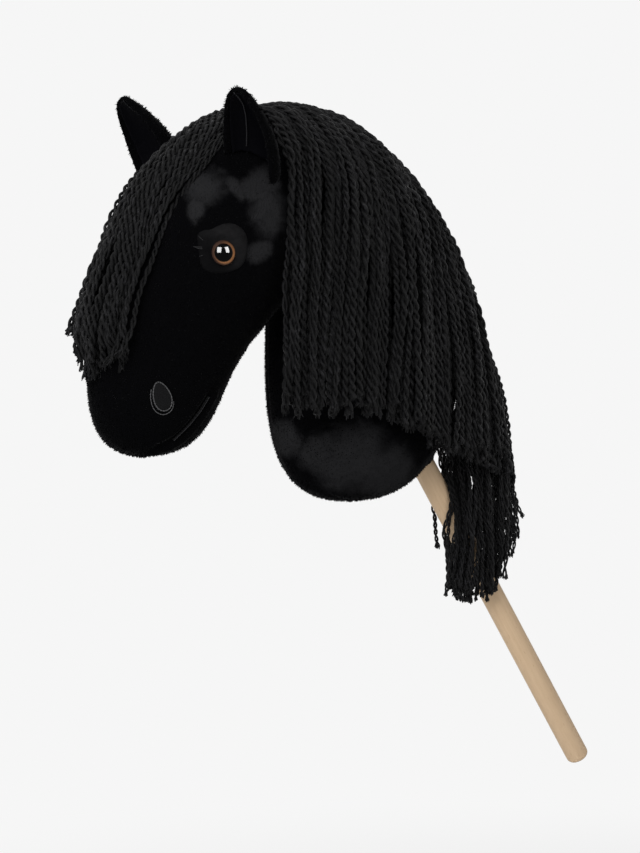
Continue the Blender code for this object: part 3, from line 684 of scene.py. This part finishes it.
def drawn(curve, name, material, slot):
    """A curve as a mesh piece of the head."""
    shape = bpy.data.objects.new(name + "_curve", curve)
    stage.collection.objects.link(shape)
    mesh = solid_mesh(shape)
    bpy.data.objects.remove(shape)
    mesh.name = name
    made = bpy.data.objects.new(name, mesh)
    stage.collection.objects.link(made)
    return finished(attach(made, "head"), material, slot)


def round_curve(name, radius, resolution):
    """An empty curve of round section with closed ends."""
    curve = bpy.data.curves.new(name, "CURVE")
    curve.dimensions = "3D"
    curve.bevel_depth = radius
    curve.bevel_resolution = resolution
    curve.use_fill_caps = True
    return curve


def add_line(curve, points, radii):
    line = curve.splines.new("POLY")
    line.points.add(len(points) - 1)
    for spot, point, radius in zip(line.points, points, radii):
        spot.co = (*point, 1)
        spot.radius = radius


def stitches(path, fat):
    """A row of stitches along a path, each stitch a short raised bead of thread."""
    curve = round_curve("stitches", THREAD_RADIUS * fat, 2)
    points = spaced(path, STITCH_LENGTH / STITCH_POINTS)
    turns = [math.pi * (i % STITCH_POINTS) / STITCH_POINTS for i in range(len(points))]
    add_line(curve, points, [0.55 + 0.45 * math.sin(turn) for turn in turns])
    return curve


for side, sign in SIDES:
    ear = skin_over(f"ear_plush_{side}", [f"ear_outer_{side}"], EAR_VOXEL, 4)
    finished(ear, plush, "plush", f"ear_outer_{side}")
    pile_over(f"pile_ear_{side}", ear, side, TUFT_LENGTH)
    lining = skin_over(f"ear_lining_cloth_{side}", [f"ear_lining_{side}"], LINING_VOXEL, 2)
    finished(lining, satin, "satin", f"ear_lining_{side}")
    fold = [Vector(spot) * Vector((1, -sign, 1)) for spot in EAR_FOLD]
    drawn(stitches(fold, 1.3), f"ear_fold_{side}", edge_highlight, "plush")

# The eyes. A domed plastic eye with an amber ring painted behind it and a wide black pupil. Its
# ribbed stem goes through a patch of smooth cloth and the plush, and a washer locks it inside.
EYE_STEPS = 64
EYE_RADIUS = 0.0122
EYE_RISE = EYE_RADIUS * 0.585
EYE_RIM = 0.0016
PUPIL_SHARE = 0.715
PUPIL_SHIFT = 0.0020
PUPIL_DROP = 0.0004
PUPIL_EDGE = 0.05
PUPIL_BLACK = (0.001, 0.001, 0.001, 1)
WASHER_WHITE = (0.75, 0.75, 0.73, 1)
AMBER_BRIGHT = (0.300, 0.135, 0.058, 1)
AMBER_DARK = (0.034, 0.019, 0.014, 1)
# How far from the eye's middle the amber starts to fade and is all dark, in shares of its radius
AMBER_FADES = 0.86
AMBER_ENDS = 1.13


def poles(name):
    """A turned CAD solid's two ends on its axis, the one further from the middle first."""
    bm = welded([name])
    ends = [v.co.copy() for v in bm.verts if len(v.link_edges) > 12]
    bm.free()
    return sorted(ends, key=lambda end: -abs(end.y))


dome_radius = (EYE_RADIUS**2 + EYE_RISE**2) / (2 * EYE_RISE)
widest = math.asin(EYE_RADIUS / dome_radius)
for side, _ in SIDES:
    apex, stem_end = poles(f"eye_{side}")
    forward = (apex - stem_end).normalized()
    bm = bmesh.new()
    spots = [bm.verts.new((0, 0, 0))]
    for i in range(1, 17):
        turn = widest * i / 16
        spots.append(bm.verts.new((dome_radius * math.sin(turn), 0, dome_radius * (math.cos(turn) - 1))))
    spots.append(bm.verts.new((EYE_RADIUS, 0, -EYE_RISE - EYE_RIM)))
    spots.append(bm.verts.new((0, 0, -EYE_RISE - EYE_RIM)))
    edges = [bm.edges.new(pair) for pair in zip(spots, spots[1:])]
    bmesh.ops.spin(
        bm, geom=[*spots, *edges], axis=(0, 0, 1), cent=(0, 0, 0), angle=2 * math.pi,
        steps=EYE_STEPS, use_merge=True,
    )
    bmesh.ops.remove_doubles(bm, verts=bm.verts, dist=0.000005)
    bmesh.ops.recalc_face_normals(bm, faces=bm.faces)
    turn = forward.to_track_quat("Z", "Y").to_matrix().to_4x4()
    bm.transform(Matrix.Translation(apex) @ turn)
    eye = piece(f"eye_dome_{side}", bm)
    eye.data.set_sharp_from_angle(angle=math.radians(50))
    made, tree, shader = material_for(
        f"eye_{side}",
        Roughness=0.3, Coat_Weight=1.0, Coat_Roughness=0.0, Coat_IOR=1.12, Specular_IOR_Level=0.0,
    )
    place = object_place(tree)
    centred = vectors(tree, (-1300, 0), "SUBTRACT", place, apex + Vector((-PUPIL_SHIFT, 0, -PUPIL_DROP)))
    reach = vectors(tree, (-900, 0), "LENGTH", vectors(tree, (-1100, 0), "CROSS_PRODUCT", centred, forward))
    pupil = (EYE_RADIUS * PUPIL_SHARE, EYE_RADIUS * (PUPIL_SHARE + PUPIL_EDGE))
    ring = ramp(tree, (-700, 100), reach, *pupil, kind="LINEAR")
    from_middle = vectors(tree, (-1300, -300), "DISTANCE", place, apex)
    glow = ramp(tree, (-700, -200), from_middle, EYE_RADIUS * AMBER_ENDS, EYE_RADIUS * AMBER_FADES)
    # Painted light: the amber is painted brighter towards the back and bottom of the eye and darker towards
    # its front and top, where light from the upper front falls on it
    light_side = vectors(tree, (-900, -400), "DOT_PRODUCT", centred, (0.6 / EYE_RADIUS, 0, -0.8 / EYE_RADIUS))
    lit = ramp(tree, (-700, -400), light_side, -0.65, 0.6, 0.03, kind="LINEAR")
    amber_lit = sums(tree, (-550, -250), "MULTIPLY", glow, lit)
    amber = blend(tree, (-450, -100), amber_lit, AMBER_DARK, AMBER_BRIGHT)
    lead(tree, shader, Base_Color=blend(tree, (-250, 100), ring, PUPIL_BLACK, amber))
    finished(eye, made, "eye_plastic", f"eye_{side}")
    washer = material_for(f"washer_{side}", Base_Color=WASHER_WHITE, Roughness=0.5)[0]
    finished(nodes[f"eye_washer_{side}"], washer, "washer_plastic")

# The nostrils and the mouth. A pointed oval of smooth grey-black cloth lies on the plush for each
# nostril, sewn down with two rounds of thread, and a line of stitching draws the plush in along the
# mouth. The thread is grey polyester.
NOSTRIL_PLACE = (-0.5040, 0.2592)
NOSTRIL_LENGTH = 0.0295
NOSTRIL_WIDTH = 0.0170
NOSTRIL_STEPS = 24
NOSTRIL_TILT = math.radians(108)
PATCH_LIFT = 0.0013
PATCH_THICKNESS = 0.0010
PATCH_PALE = (0.0066, 0.0066, 0.0070, 1)
PATCH_DARK = (0.0028, 0.0028, 0.0031, 1)
THREAD_GREY = (0.052, 0.052, 0.054, 1)
ROLL_LIFT = 0.0020
RIM_POINTS = 60

patch_cloth, tree, shader = material_for("nostril_cloth", Roughness=0.7, Specular_IOR_Level=0.05)
threads, uneven = fine(tree, object_place(tree), 1400, 1, 0.5, 0.0004)
lead(tree, shader, Base_Color=blend(tree, (-400, 100), threads, PATCH_DARK, PATCH_PALE), Normal=uneven)
sewing = material_for("grey_thread", Base_Color=THREAD_GREY, Roughness=0.5, Specular_IOR_Level=0.10)[0]
cover_tree = BVHTree.FromObject(cover, bpy.context.evaluated_depsgraph_get())


def on_cover(x, z, lift, sign):
    """The place on one side of the head at these side view coordinates, lifted off the plush."""
    spot, normal, _, _ = cover_tree.ray_cast(Vector((x, sign * 0.3, z)), Vector((0, -sign, 0)))
    if spot is None:
        return None
    return spot + normal * lift


def oval_place(turn, length, width, shift):
    """A place on a pointed oval round the nostril's middle, in the side view."""
    x = math.cos(turn) * length / 2 + shift[0]
    y = math.sin(turn) * width / 2 * (1 - 0.2 * math.cos(turn)) + shift[1]
    return (
        NOSTRIL_PLACE[0] + x * math.cos(NOSTRIL_TILT) - y * math.sin(NOSTRIL_TILT),
        NOSTRIL_PLACE[1] + x * math.sin(NOSTRIL_TILT) + y * math.cos(NOSTRIL_TILT),
    )


def oval(length, width, shift, count):
    return [oval_place(2 * math.pi * i / count, length, width, shift) for i in range(count)]


def sewn_line(places, lift, sign, closed, fat):
    """A row of stitches along some side view places, each stitch a short raised bead of thread."""
    path = [spot for spot in (on_cover(x, z, lift, sign) for x, z in places) if spot is not None]
    if closed:
        path.append(path[0])
    return stitches(path, fat)


def sewn_patch(name, steps, way, sign, thickness):
    """A patch of cloth that follows the cover, where way gives the place of a direction and a share out."""
    bm = bmesh.new()
    bmesh.ops.create_grid(bm, x_segments=steps, y_segments=steps, size=1)
    for vert in bm.verts:
        vert.co = way(math.atan2(vert.co.y, vert.co.x), max(abs(vert.co.x), abs(vert.co.y)), sign)
    if sign < 0:
        bmesh.ops.reverse_faces(bm, faces=bm.faces)
    patch = piece(name, bm)
    sheet = patch.modifiers.new("cloth", "SOLIDIFY")
    sheet.thickness = thickness
    sheet.offset = -1
    return settled(patch)


def on_nostril(turn, ring, sign):
    x, z = oval_place(turn, NOSTRIL_LENGTH * ring, NOSTRIL_WIDTH * ring, (0, 0))
    return on_cover(x, z, PATCH_LIFT * (1 - 0.9 * ring**10), sign)


for side, sign in SIDES:
    patch = sewn_patch(f"nostril_cloth_{side}", NOSTRIL_STEPS, on_nostril, sign, PATCH_THICKNESS)
    finished(patch, patch_cloth, "grey_patch", f"nostril_patch_{side}")
    mouth = [(x - 0.0012, z - 0.0008) for x, z in MOUTH_LINE[:4]]
    roll = sewn_line(mouth, ROLL_LIFT, sign, False, 2.6)
    roll = drawn(roll, f"mouth_roll_{side}", patch_cloth, "grey_patch")
    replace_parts(roll, f"mouth_stitching_{side}")
    # The thread along the lip's edge is the same pale grey, a painted highlight along the fold of the lip
    drawn(sewn_line(mouth, 0.0042, sign, False, 0.8), f"mouth_thread_{side}", edge_highlight, "grey_patch")
    rim = oval(NOSTRIL_LENGTH - 0.001, NOSTRIL_WIDTH - 0.001, (0, 0), RIM_POINTS)
    drawn(sewn_line(rim, ROLL_LIFT, sign, True, 1.2), f"nostril_rim_{side}", sewing, "grey_patch")
    outer = oval(NOSTRIL_LENGTH + 0.003, NOSTRIL_WIDTH + 0.003, (-0.0015, 0.0006), RIM_POINTS)
    drawn(sewn_line(outer[8:42], 0.0010, sign, False, 1.0), f"nostril_fold_{side}", sewing, "grey_patch")

# The eye surrounds. Smooth short-piled black cloth round each eye, turned in at its edge, with a
# fold above the eye like a lid and a few black lashes of thread at its front corner.
EYE_PLACE = (-0.4475, 0.398)
SURROUND_STEPS = 30
SURROUND_LIFT = 0.0017
SURROUND_THICKNESS = 0.0008
SURROUND_SHEEN_PALE = (0.0135, 0.0132, 0.0138, 1)
SURROUND_DARK = (0.0016, 0.0016, 0.0019, 1)
LID_LIFT = 0.0022
LASH_RADIUS = 0.00028
LASH_POINTS = 6
# The edge of the cloth round the left eye: forward or back of the eye's middle, and above it
SURROUND = (
    (-0.021, 0.0225), (-0.0112, 0.0195), (-0.004, 0.0240), (0.0092, 0.0290), (0.0215, 0.0245),
    (0.0270, 0.0160), (0.0275, 0.0000), (0.0230, -0.0130), (0.0120, -0.0185), (-0.001, -0.0210),
    (-0.0150, -0.0195), (-0.0205, -0.0120), (-0.0215, 0.0050),
)
# The lashes: each root's x and z from the eye's middle, and then its end's x and z from the root
LASHES = (
    (-0.018, 0.0045, -0.0135, 0.0005), (-0.018, 0.0030, -0.0120, 0.0012),
    (-0.018, -0.0035, -0.0070, -0.0008), (-0.016, 0.0110, -0.0090, 0.0040),
)

surround_cloth, tree, shader = material_for("eye_surround", Roughness=0.8, Specular_IOR_Level=0.03)
place = object_place(tree)
nap, uneven = fine(tree, place, 160, 5, 0.5, 0.0005, 0.7)
# Painted sheen: the cloth is painted paler behind and above the eye, this way from its middle, where light
# catches its nap
rearward = vectors(tree, (-800, 300), "DOT_PRODUCT", place, (0.8, 0, 0.6))
middle = EYE_PLACE[0] * 0.8 + EYE_PLACE[1] * 0.6
painted_sheen_side = ramp(tree, (-600, 300), rearward, middle - 0.013, middle + 0.012, 0.15)
pale = sums(tree, (-500, 200), "MULTIPLY", painted_sheen_side, nap)
lead(tree, shader, Base_Color=blend(tree, (-400, 100), pale, SURROUND_DARK, SURROUND_SHEEN_PALE), Normal=uneven)


def edge_at(turn):
    """How far the surround's edge is from the eye's middle in this direction."""
    way = Vector((math.cos(turn), math.sin(turn)))
    for a, b in zip(SURROUND, SURROUND[1:] + SURROUND[:1]):
        a, b = Vector(a), Vector(b)
        run = b - a
        cross = way.x * run.y - way.y * run.x
        if abs(cross) < 1e-9:
            continue
        reach = (a.x * run.y - a.y * run.x) / cross
        share = (a.x * way.y - a.y * way.x) / cross
        if reach > 0 and -0.001 <= share <= 1.001:
            return reach
    return 0.02


def on_surround(turn, ring, sign):
    reach = sum(edge_at(turn + off) for off in (-0.2, -0.1, 0, 0.1, 0.2)) / 5 * ring
    aside, above = math.cos(turn) * reach, math.sin(turn) * reach
    lift = SURROUND_LIFT * (1 - ring**8) - 0.0012 * ring**16
    lid = math.exp(-(((ring - 0.72) / 0.16) ** 2)) * max(0.0, math.sin(turn)) ** 0.7
    return on_cover(EYE_PLACE[0] + aside, EYE_PLACE[1] + above, lift + LID_LIFT * lid, sign)


for side, sign in SIDES:
    made = sewn_patch(f"eye_surround_{side}", SURROUND_STEPS, on_surround, sign, SURROUND_THICKNESS)
    finished(made, surround_cloth, "satin", f"eye_patch_{side}")
    curve = bpy.data.curves.new("lashes", "CURVE")
    curve.dimensions = "3D"
    curve.bevel_depth = LASH_RADIUS
    shares = [i / (LASH_POINTS - 1) for i in range(LASH_POINTS)]
    for aside, above, run, rise in LASHES:
        root = on_cover(EYE_PLACE[0] + aside, EYE_PLACE[1] + above, 0.0015, sign)
        lash = [
            (root.x + run * share, root.y + sign * 0.0030 * math.sin(share * 1.6), root.z + rise * share**2)
            for share in shares
        ]
        add_line(curve, lash, [1 - 0.6 * share for share in shares])
    # The lashes are drawn in the pale grey thread, not black: a painted highlight along them
    drawn(curve, f"lashes_{side}", sewing, "grey_patch")

# The tapes. Black woven cotton along the crest and over the poll, which the yarn is sewn to.
TAPE_VOXEL = 0.0009
TAPE_PUCKER = 0.0002
TAPE_CREASES = 180
TAPE_PALE = (0.010, 0.010, 0.011, 1)
TAPE_DARK = (0.004, 0.004, 0.005, 1)
tape_cloth = woven("tape_cotton", TAPE_PALE, TAPE_DARK, 1200, 0.9)
for name in ("mane_tape", "forelock_tape"):
    tape = puckered(skin_over(name + "_cloth", [name], TAPE_VOXEL, 1), TAPE_CREASES, TAPE_PUCKER)
    finished(tape, tape_cloth, "tape", name)

# The mane. Thick black yarn of two plies with a hard twist, sewn to the tape in rows and cut level
# at the bottom. It is all combed over to the left, falls back from the crest and then hangs
# straight. Its cut ends open a little and their fibres stand out.
PLY_RADIUS = 0.00175
PLY_OFFSET = 0.0020
YARN_RADIUS = PLY_RADIUS + PLY_OFFSET
LAY = 0.0215
YARN_STEP = 0.0022
FIBRES = 9
MANE_FRONT = -0.386
MANE_BACK = 0.006
CREST_FRONT = -0.364
CREST_BACK = -0.105
CREST_START = 0.011
HEM = ((-0.388, 0.247), (-0.259, 0.242), (-0.175, 0.208), (0.010, 0.158))
CROSSING = 0.007
MISSING = 0.13
FRONT_EDGE = (
    (0.240, -0.381), (0.330, -0.383), (0.430, -0.382), (0.470, -0.372), (0.505, -0.366), (0.540, -0.364),
)
FRONT_SHARE = 0.40
STRAND_GAP = 0.0069
LOCKS = 8
OPEN_END = 0.009
MANE_POINTS = 61
# The mane's layers: how deep each lies, and how far apart its strands are
MANE_LAYERS = ((0.0, STRAND_GAP), (0.0065, STRAND_GAP), (0.0115, STRAND_GAP * 1.3))
YARN_GLINT_PALE = (0.0108, 0.0106, 0.0120, 1)
YARN_DARK = (0.0004, 0.0004, 0.0006, 1)

yarn, tree, shader = material_for(
    "black_yarn", Specular_IOR_Level=0.16, Sheen_Weight=0.01, Sheen_Roughness=0.4,
)
place = object_place(tree)
# Painted light, partly: the yarn's tone varies at random, and its pale spots stand in for broken highlights
# on the plies and its dark streaks along the strands for the shade in the gaps between clumps
shade = put(tree, "ShaderNodeTexNoise", (-800, 200), Vector=place, Scale=190, Detail=4, Roughness=0.7)
glint_spots = ramp(tree, (-600, 200), shade.outputs["Fac"], 0.49, 0.66, 0.08)
strand_way = along(tree, 0, (1, 1, 0.14))
clump = put(tree, "ShaderNodeTexNoise", (-800, 500), Vector=strand_way, Scale=60, Detail=4, Roughness=0.7)
uneven = ramp(tree, (-600, 500), clump.outputs["Fac"], 0.40, 0.58, 0.08)
glints_and_gaps = sums(tree, (-500, 350), "MULTIPLY", glint_spots, uneven)
lead(
    tree, shader,
    Base_Color=blend(tree, (-400, 200), glints_and_gaps, YARN_DARK, YARN_GLINT_PALE),
    Roughness=ramp(tree, (-300, 400), glints_and_gaps, 0.0, 1.0, 0.62, 0.27, "LINEAR"),
    Normal=fine(tree, place, 1300, 2, 0.9, 0.0008)[1],
)


def eased(points, times):
    """Smooths a path and keeps its ends."""
    for _ in range(times):
        middle = [(a + b * 2 + c) / 4 for a, b, c in zip(points, points[1:], points[2:])]
        points = [points[0], *middle, points[-1]]
    return points


def wavering(wander, way, row, size):
    """How far a strand strays at a place on its way. Each strand and row strays by itself."""
    return noise.noise(Vector((wander, way, row))) * size


def add_yarn(curve, path, dice, thick=1.0, lay=LAY, fray=0.010):
    """One strand along a path: two plies wound round it to the left, which open at its end."""
    path = spaced(path, YARN_STEP)
    last = len(path) - 1
    heading = (path[1] - path[0]).normalized()
    side = heading.orthogonal().normalized()
    phase = dice.uniform(0, 2 * math.pi)
    size = thick * dice.uniform(0.80, 1.12)
    lay *= dice.uniform(0.86, 1.18)
    plies = ([], [])
    sizes = ([], [])
    for index, point in enumerate(path):
        if index < last:
            heading = (path[index + 1] - point).normalized()
        side = (side - heading * side.dot(heading)).normalized()
        other = heading.cross(side)
        turn = phase - 2 * math.pi * index * YARN_STEP / lay
        turn += wavering(phase * 9, index * 0.05, 0, 2.6)
        opened = max(0.0, 1 - (last - index) * YARN_STEP / OPEN_END)
        for number, ply in enumerate(plies):
            angle = turn + math.pi * number
            reach = PLY_OFFSET * size * (1 + 0.35 * opened)
            ply.append(point + (side * math.cos(angle) + other * math.sin(angle)) * reach)
            lumpy = wavering(phase * 9, index * 0.22, 7 + number * 9, 0.30)
            sizes[number].append(size * (1 + 0.12 * opened + lumpy))
    for ply, radii in zip(plies, sizes):
        add_line(curve, ply, radii)
        for _ in range(FIBRES):
            spot = ply[-min(3, len(ply))] + tossed(dice, PLY_RADIUS * size * 0.8)
            way = heading + tossed(dice, 0.22)
            length = fray * dice.uniform(0.35, 0.9)
            wisp = [spot]
            for _ in range(3):
                way += tossed(dice, 0.14)
                wisp.append(wisp[-1] + way.normalized() * length / 3)
            stout = dice.uniform(0.18, 0.44)
            add_line(curve, wisp, [stout, stout, stout, stout * 0.8])


def height_on(line, x):
    for (x0, z0), (x1, z1) in zip(line, line[1:]):
        if x <= x1:
            return z0 + (z1 - z0) * (x - x0) / (x1 - x0)
    return line[-1][1]


def curve_point(corners, share):
    """A point of the cubic curve with these four corners."""
    a, b, c, d = corners
    rest = 1 - share
    return a * rest**3 + b * (3 * rest**2 * share) + c * (3 * rest * share**2) + d * share**3


mane_form = tree_of([f"mane_lock_{n}" for n in range(1, LOCKS + 1)])


def crest_height(x, y):
    hit = mane_form.ray_cast(Vector((x, y, 0.8)), Vector((0, 0, -1)))
    return hit[0].z if hit[0] is not None else None


def mane_depth(x, z):
    """The y of the mane's left side at a place in the side view, or None past its edges."""
    for shift in (0, 0.001, -0.001, 0.003, 0.006, 0.012, 0.020):
        hit = mane_form.ray_cast(Vector((x + shift, -0.3, z)), Vector((0, 1, 0)))
        if hit[0] is not None:
            return hit[0].y
    return None


def mane_path(share, deep, dice):
    """A strand's way over the crest and down to the hem, share of the way back along the mane."""
    crest_x = CREST_FRONT + (CREST_BACK - CREST_FRONT) * share**0.95
    hem_x = MANE_FRONT + (MANE_BACK - MANE_FRONT) * share + dice.uniform(-CROSSING, CROSSING)
    top = crest_height(crest_x, -0.003) or 0.30
    crest = Vector((crest_x, top))
    before, behind = (crest_height(crest_x + step, -0.003) or top for step in (-0.01, 0.01))
    fall = (Vector((0.02, behind - before)).normalized() + Vector((0.0, -0.75))).normalized()
    hem = Vector((hem_x, height_on(HEM, hem_x) + dice.uniform(-0.009, 0.012)))
    length = (hem - crest).length
    corners = (crest, crest + fall * length * 0.22, hem + Vector((-0.01, length * 0.45)), hem)
    wander = dice.uniform(0, 100)
    points = []
    for y in (CREST_START + dice.uniform(-0.003, 0.002), CREST_START / 2, 0.0):
        height = crest_height(crest_x, y)
        if height is not None:
            points.append(Vector((crest_x - y * 0.3, y, height - YARN_RADIUS * 0.8 - deep)))
    depth = None
    for i in range(MANE_POINTS):
        t = (i / (MANE_POINTS - 1)) ** 1.6
        spot = curve_point(corners, t)
        pull = max(0.0, 1 - share / FRONT_SHARE) ** 1.5
        spot.x += (height_on(FRONT_EDGE, spot.y) - (CREST_FRONT + (spot.x - crest_x))) * pull * min(1, t * 6)
        free = min(1, t * 4)
        sway = wavering(wander, t * 3.5, 0, 0.0080) * free + wavering(wander, t * 14, 5, 0.0030) * free
        dip = wavering(wander, t * 3.5, 50, 0.0045) * free + wavering(wander, t * 14, 55, 0.0026) * free
        found = mane_depth(spot.x, spot.y - 0.001)
        depth = found if found is not None else depth if depth is not None else -0.003
        points.append(Vector((spot.x + sway, min(depth + YARN_RADIUS + deep + dip, -0.002), spot.y)))
    return eased(points, 6)


lock_width = (MANE_BACK - MANE_FRONT) / LOCKS
dice = random.Random("mane")
for number in range(LOCKS):
    name = f"mane_yarn_{number + 1}"
    curve = round_curve(name, PLY_RADIUS, 1)
    for deep, gap in MANE_LAYERS:
        count = round(lock_width / gap)
        for i in range(count):
            if deep == 0 and dice.random() < MISSING:
                continue
            share = (number + (i + 0.5 + dice.uniform(-0.35, 0.35)) / count) / LOCKS
            lower = dice.choice((-0.0010, 0.0, 0.0014, 0.0030, 0.0055)) if deep == 0 else 0.0
            add_yarn(curve, mane_path(share, deep + lower, dice), dice)
    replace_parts(drawn(curve, name, yarn, "yarn"), f"mane_lock_{number + 1}")

# The forelock. The same yarn, sewn across the poll between the ears, and combed forward and down
# over the face to just above the nose. Its strands lie over one another and were cut unevenly.
FORELOCK_HALF = 0.043
FACE_CENTRE = Vector((-0.34, 0, 0.34))
FORELOCK_START = math.radians(-2)
FORELOCK_TURN = math.radians(122)
FORELOCK_HEM = ((-1.0, 0.292), (-0.5, 0.283), (0.1, 0.279), (0.45, 0.296), (0.8, 0.318), (1.0, 0.330))
FORELOCK_FLICK = 0.006
FORELOCK_POINTS = 70
FORELOCK_LAYERS = ((0.0, STRAND_GAP * 0.8), (0.0050, STRAND_GAP))
FACE_ROOM = 0.008
forelock_tree = tree_of(["forelock_left", "forelock_middle", "forelock_right"])


def forelock_path(across, deep, dice):
    """A strand's way from the poll down the face, this share across from left to right."""
    wander = dice.uniform(0, 100)
    lean = dice.uniform(-0.10, 0.10)
    end = height_on(FORELOCK_HEM, across) + dice.uniform(-0.007, 0.013)
    flick = dice.uniform(-0.3, 1) * FORELOCK_FLICK * (1 + max(0.0, across))
    points = []
    for i in range(FORELOCK_POINTS):
        turn = FORELOCK_START + FORELOCK_TURN * i / (FORELOCK_POINTS - 1)
        here = max(-1.0, min(1.0, across + lean * i / (FORELOCK_POINTS - 1)))
        spread = FORELOCK_HALF * here * (0.62 + 0.38 * min(1, i / 22))
        way = Vector((-math.sin(turn), 0, math.cos(turn)))
        hit = None
        for nearer in (1.0, 0.96, 0.90, 0.82):
            hit = forelock_tree.ray_cast(FACE_CENTRE + way * 0.4 + Vector((0, spread * nearer, 0)), -way)[0]
            if hit is not None:
                break
        if hit is None:
            if not points or points[-1].z > 0.34:
                continue
            hit = points[-1] * 2 - points[-2] + way * (YARN_RADIUS * 0.7 + deep)
            face = cover_tree.ray_cast(FACE_CENTRE + way * 0.4 + Vector((0, spread, 0)), -way)[0]
            if face is not None and (hit - FACE_CENTRE).dot(way) < (face - FACE_CENTRE).dot(way) + FACE_ROOM:
                hit = face + way * FACE_ROOM
        sway = wavering(wander, i / 12, 0, 0.0055) + wavering(wander, i / 3, 20, 0.0020)
        dip = wavering(wander, i / 12, 40, 0.0022) + wavering(wander, i / 3, 70, 0.0012)
        dip -= flick * max(0.0, 1 - (hit.z - end) / 0.030) ** 2
        spot = Vector((hit.x, spread + sway, hit.z)) - way * (YARN_RADIUS * 0.7 + deep + dip)
        if spot.z < end:
            break
        points.append(spot)
    return eased(points, 4)


dice = random.Random("forelock")
for name, low, high in (("left", -1.0, -0.33), ("middle", -0.33, 0.33), ("right", 0.33, 1.0)):
    curve = round_curve(f"forelock_yarn_{name}", PLY_RADIUS, 1)
    for deep, gap in FORELOCK_LAYERS:
        count = round((high - low) * FORELOCK_HALF / gap)
        for i in range(count):
            across = low + (high - low) * (i + 0.5 + dice.uniform(-0.3, 0.3)) / count
            path = forelock_path(across, deep + dice.uniform(-0.0014, 0.0020), dice)
            if len(path) > 5:
                add_yarn(curve, path, dice, 0.96)
    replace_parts(drawn(curve, f"forelock_yarn_{name}", yarn, "yarn"), f"forelock_{name}")

# The long bundle at the withers. The last rows are of thinner yarn, left longer. They hang straight
# down on both sides of the stick, crinkled where they were unwound, cut at many lengths, and a few
# strands stray from the rest.
BUNDLE = (
    (0.240, -0.096, -0.010, 0.020), (0.166, -0.100, 0.002, 0.034),
    (0.100, -0.096, 0.004, 0.036), (0.020, -0.083, -0.004, 0.030),
)
BUNDLE_TOP = 0.232
BUNDLE_HEM = (
    (-0.100, 0.050), (-0.078, 0.036), (-0.048, 0.028), (-0.036, 0.040), (-0.016, 0.082), (0.004, 0.102),
)
BUNDLE_THIN = 0.68
BUNDLE_LAY = 0.019
BUNDLE_FRAY = 0.007
BUNDLE_STEPS = 46
BUNDLE_FIRST = {"left": 0.0, "right": 0.20}
BUNDLE_OUT = {"left": (0.45, 1.0), "right": (0.2, 0.9)}
BUNDLE_SHARES = (0.0, 0.035, 0.07, 0.105)
BUNDLE_GATHER = -0.030
BUNDLE_DENSE = {"left": (54, 1.7), "right": (34, 1.0)}
STICK_ROOM = 0.0125 + YARN_RADIUS * BUNDLE_THIN + 0.0012
# Strays: which lock, share of the way back, sideways drift of the end, and height of the end
STRAYS = (
    ("right", 0.12, -0.010, 0.082), ("left", 0.98, 0.020, 0.112), ("left", 0.95, 0.008, 0.152),
    ("right", 0.97, 0.012, 0.094), ("left", 0.60, 0.014, 0.050),
)


def bundle_section(z):
    for (z0, *low), (z1, *high) in zip(BUNDLE, BUNDLE[1:]):
        if z >= z1:
            share = (z0 - z) / (z0 - z1)
            return [a + (b - a) * share for a, b in zip(low, high)]
    return list(BUNDLE[-1][1:])


def clear_of_stick(point, sign):
    """The point moved out past the stick, on its own side of it."""
    aside = (point - STICK_UP * point.dot(STICK_UP)).xz.length
    if aside < STICK_ROOM:
        point.y = sign * max(abs(point.y), math.sqrt(STICK_ROOM**2 - aside**2))
    return point


def bundle_path(share, out, end, drift, sign, dice):
    """A strand's way down, this share of the way back and this far out to its side."""
    wander = dice.uniform(0, 100)
    bulge = math.sqrt(max(0.0, 1 - (2 * share - 1) ** 2))
    points = []
    for i in range(BUNDLE_STEPS + 1):
        z = BUNDLE_TOP + (end - BUNDLE_TOP) * i / BUNDLE_STEPS
        front, back, half = bundle_section(z)
        x = front + (back - front) * share + drift * max(0.0, i / BUNDLE_STEPS * 1.7 - 0.7) ** 1.2
        y = max(half * bulge * out, 0.003)
        x += wavering(wander, z * 18, 0, 0.0065) + wavering(wander, z * 75, 3, 0.0022)
        y += wavering(wander, z * 18, 9, 0.0045) + wavering(wander, z * 75, 6, 0.0018)
        points.append(clear_of_stick(Vector((x, sign * max(y, 0.003), z)), sign))
    return eased(points, 2)


for side, sign in SIDES:
    dice = random.Random("withers " + side)
    curve = round_curve(f"withers_yarn_{side}", PLY_RADIUS, 1)
    first = BUNDLE_FIRST[side]
    shares = [first + share for share in BUNDLE_SHARES]
    first += BUNDLE_SHARES[-1] + 0.05
    count, crowding = BUNDLE_DENSE[side]
    shares += [first + (1 - first) * ((i + dice.random()) / count) ** crowding for i in range(count)]
    for share in shares:
        gathered = BUNDLE_GATHER * max(0.0, 1 - abs(share - 0.22) / 0.16) if sign < 0 else 0.0
        front, back, _ = bundle_section(0.05)
        end = height_on(BUNDLE_HEM, front + (back - front) * share) + dice.uniform(-0.010, 0.014)
        drift = dice.uniform(-1, 1) ** 3 * 0.008 + gathered * dice.random()
        path = bundle_path(share, dice.uniform(*BUNDLE_OUT[side]), end, drift, sign, dice)
        add_yarn(curve, path, dice, BUNDLE_THIN, BUNDLE_LAY, BUNDLE_FRAY)
    for lock, share, drift, end in STRAYS:
        if lock == side:
            path = bundle_path(share, 0.4, end, drift, sign, dice)
            add_yarn(curve, path, dice, BUNDLE_THIN, BUNDLE_LAY, BUNDLE_FRAY)
    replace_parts(drawn(curve, f"withers_yarn_{side}", yarn, "yarn"), f"withers_lock_{side}")

low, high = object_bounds()
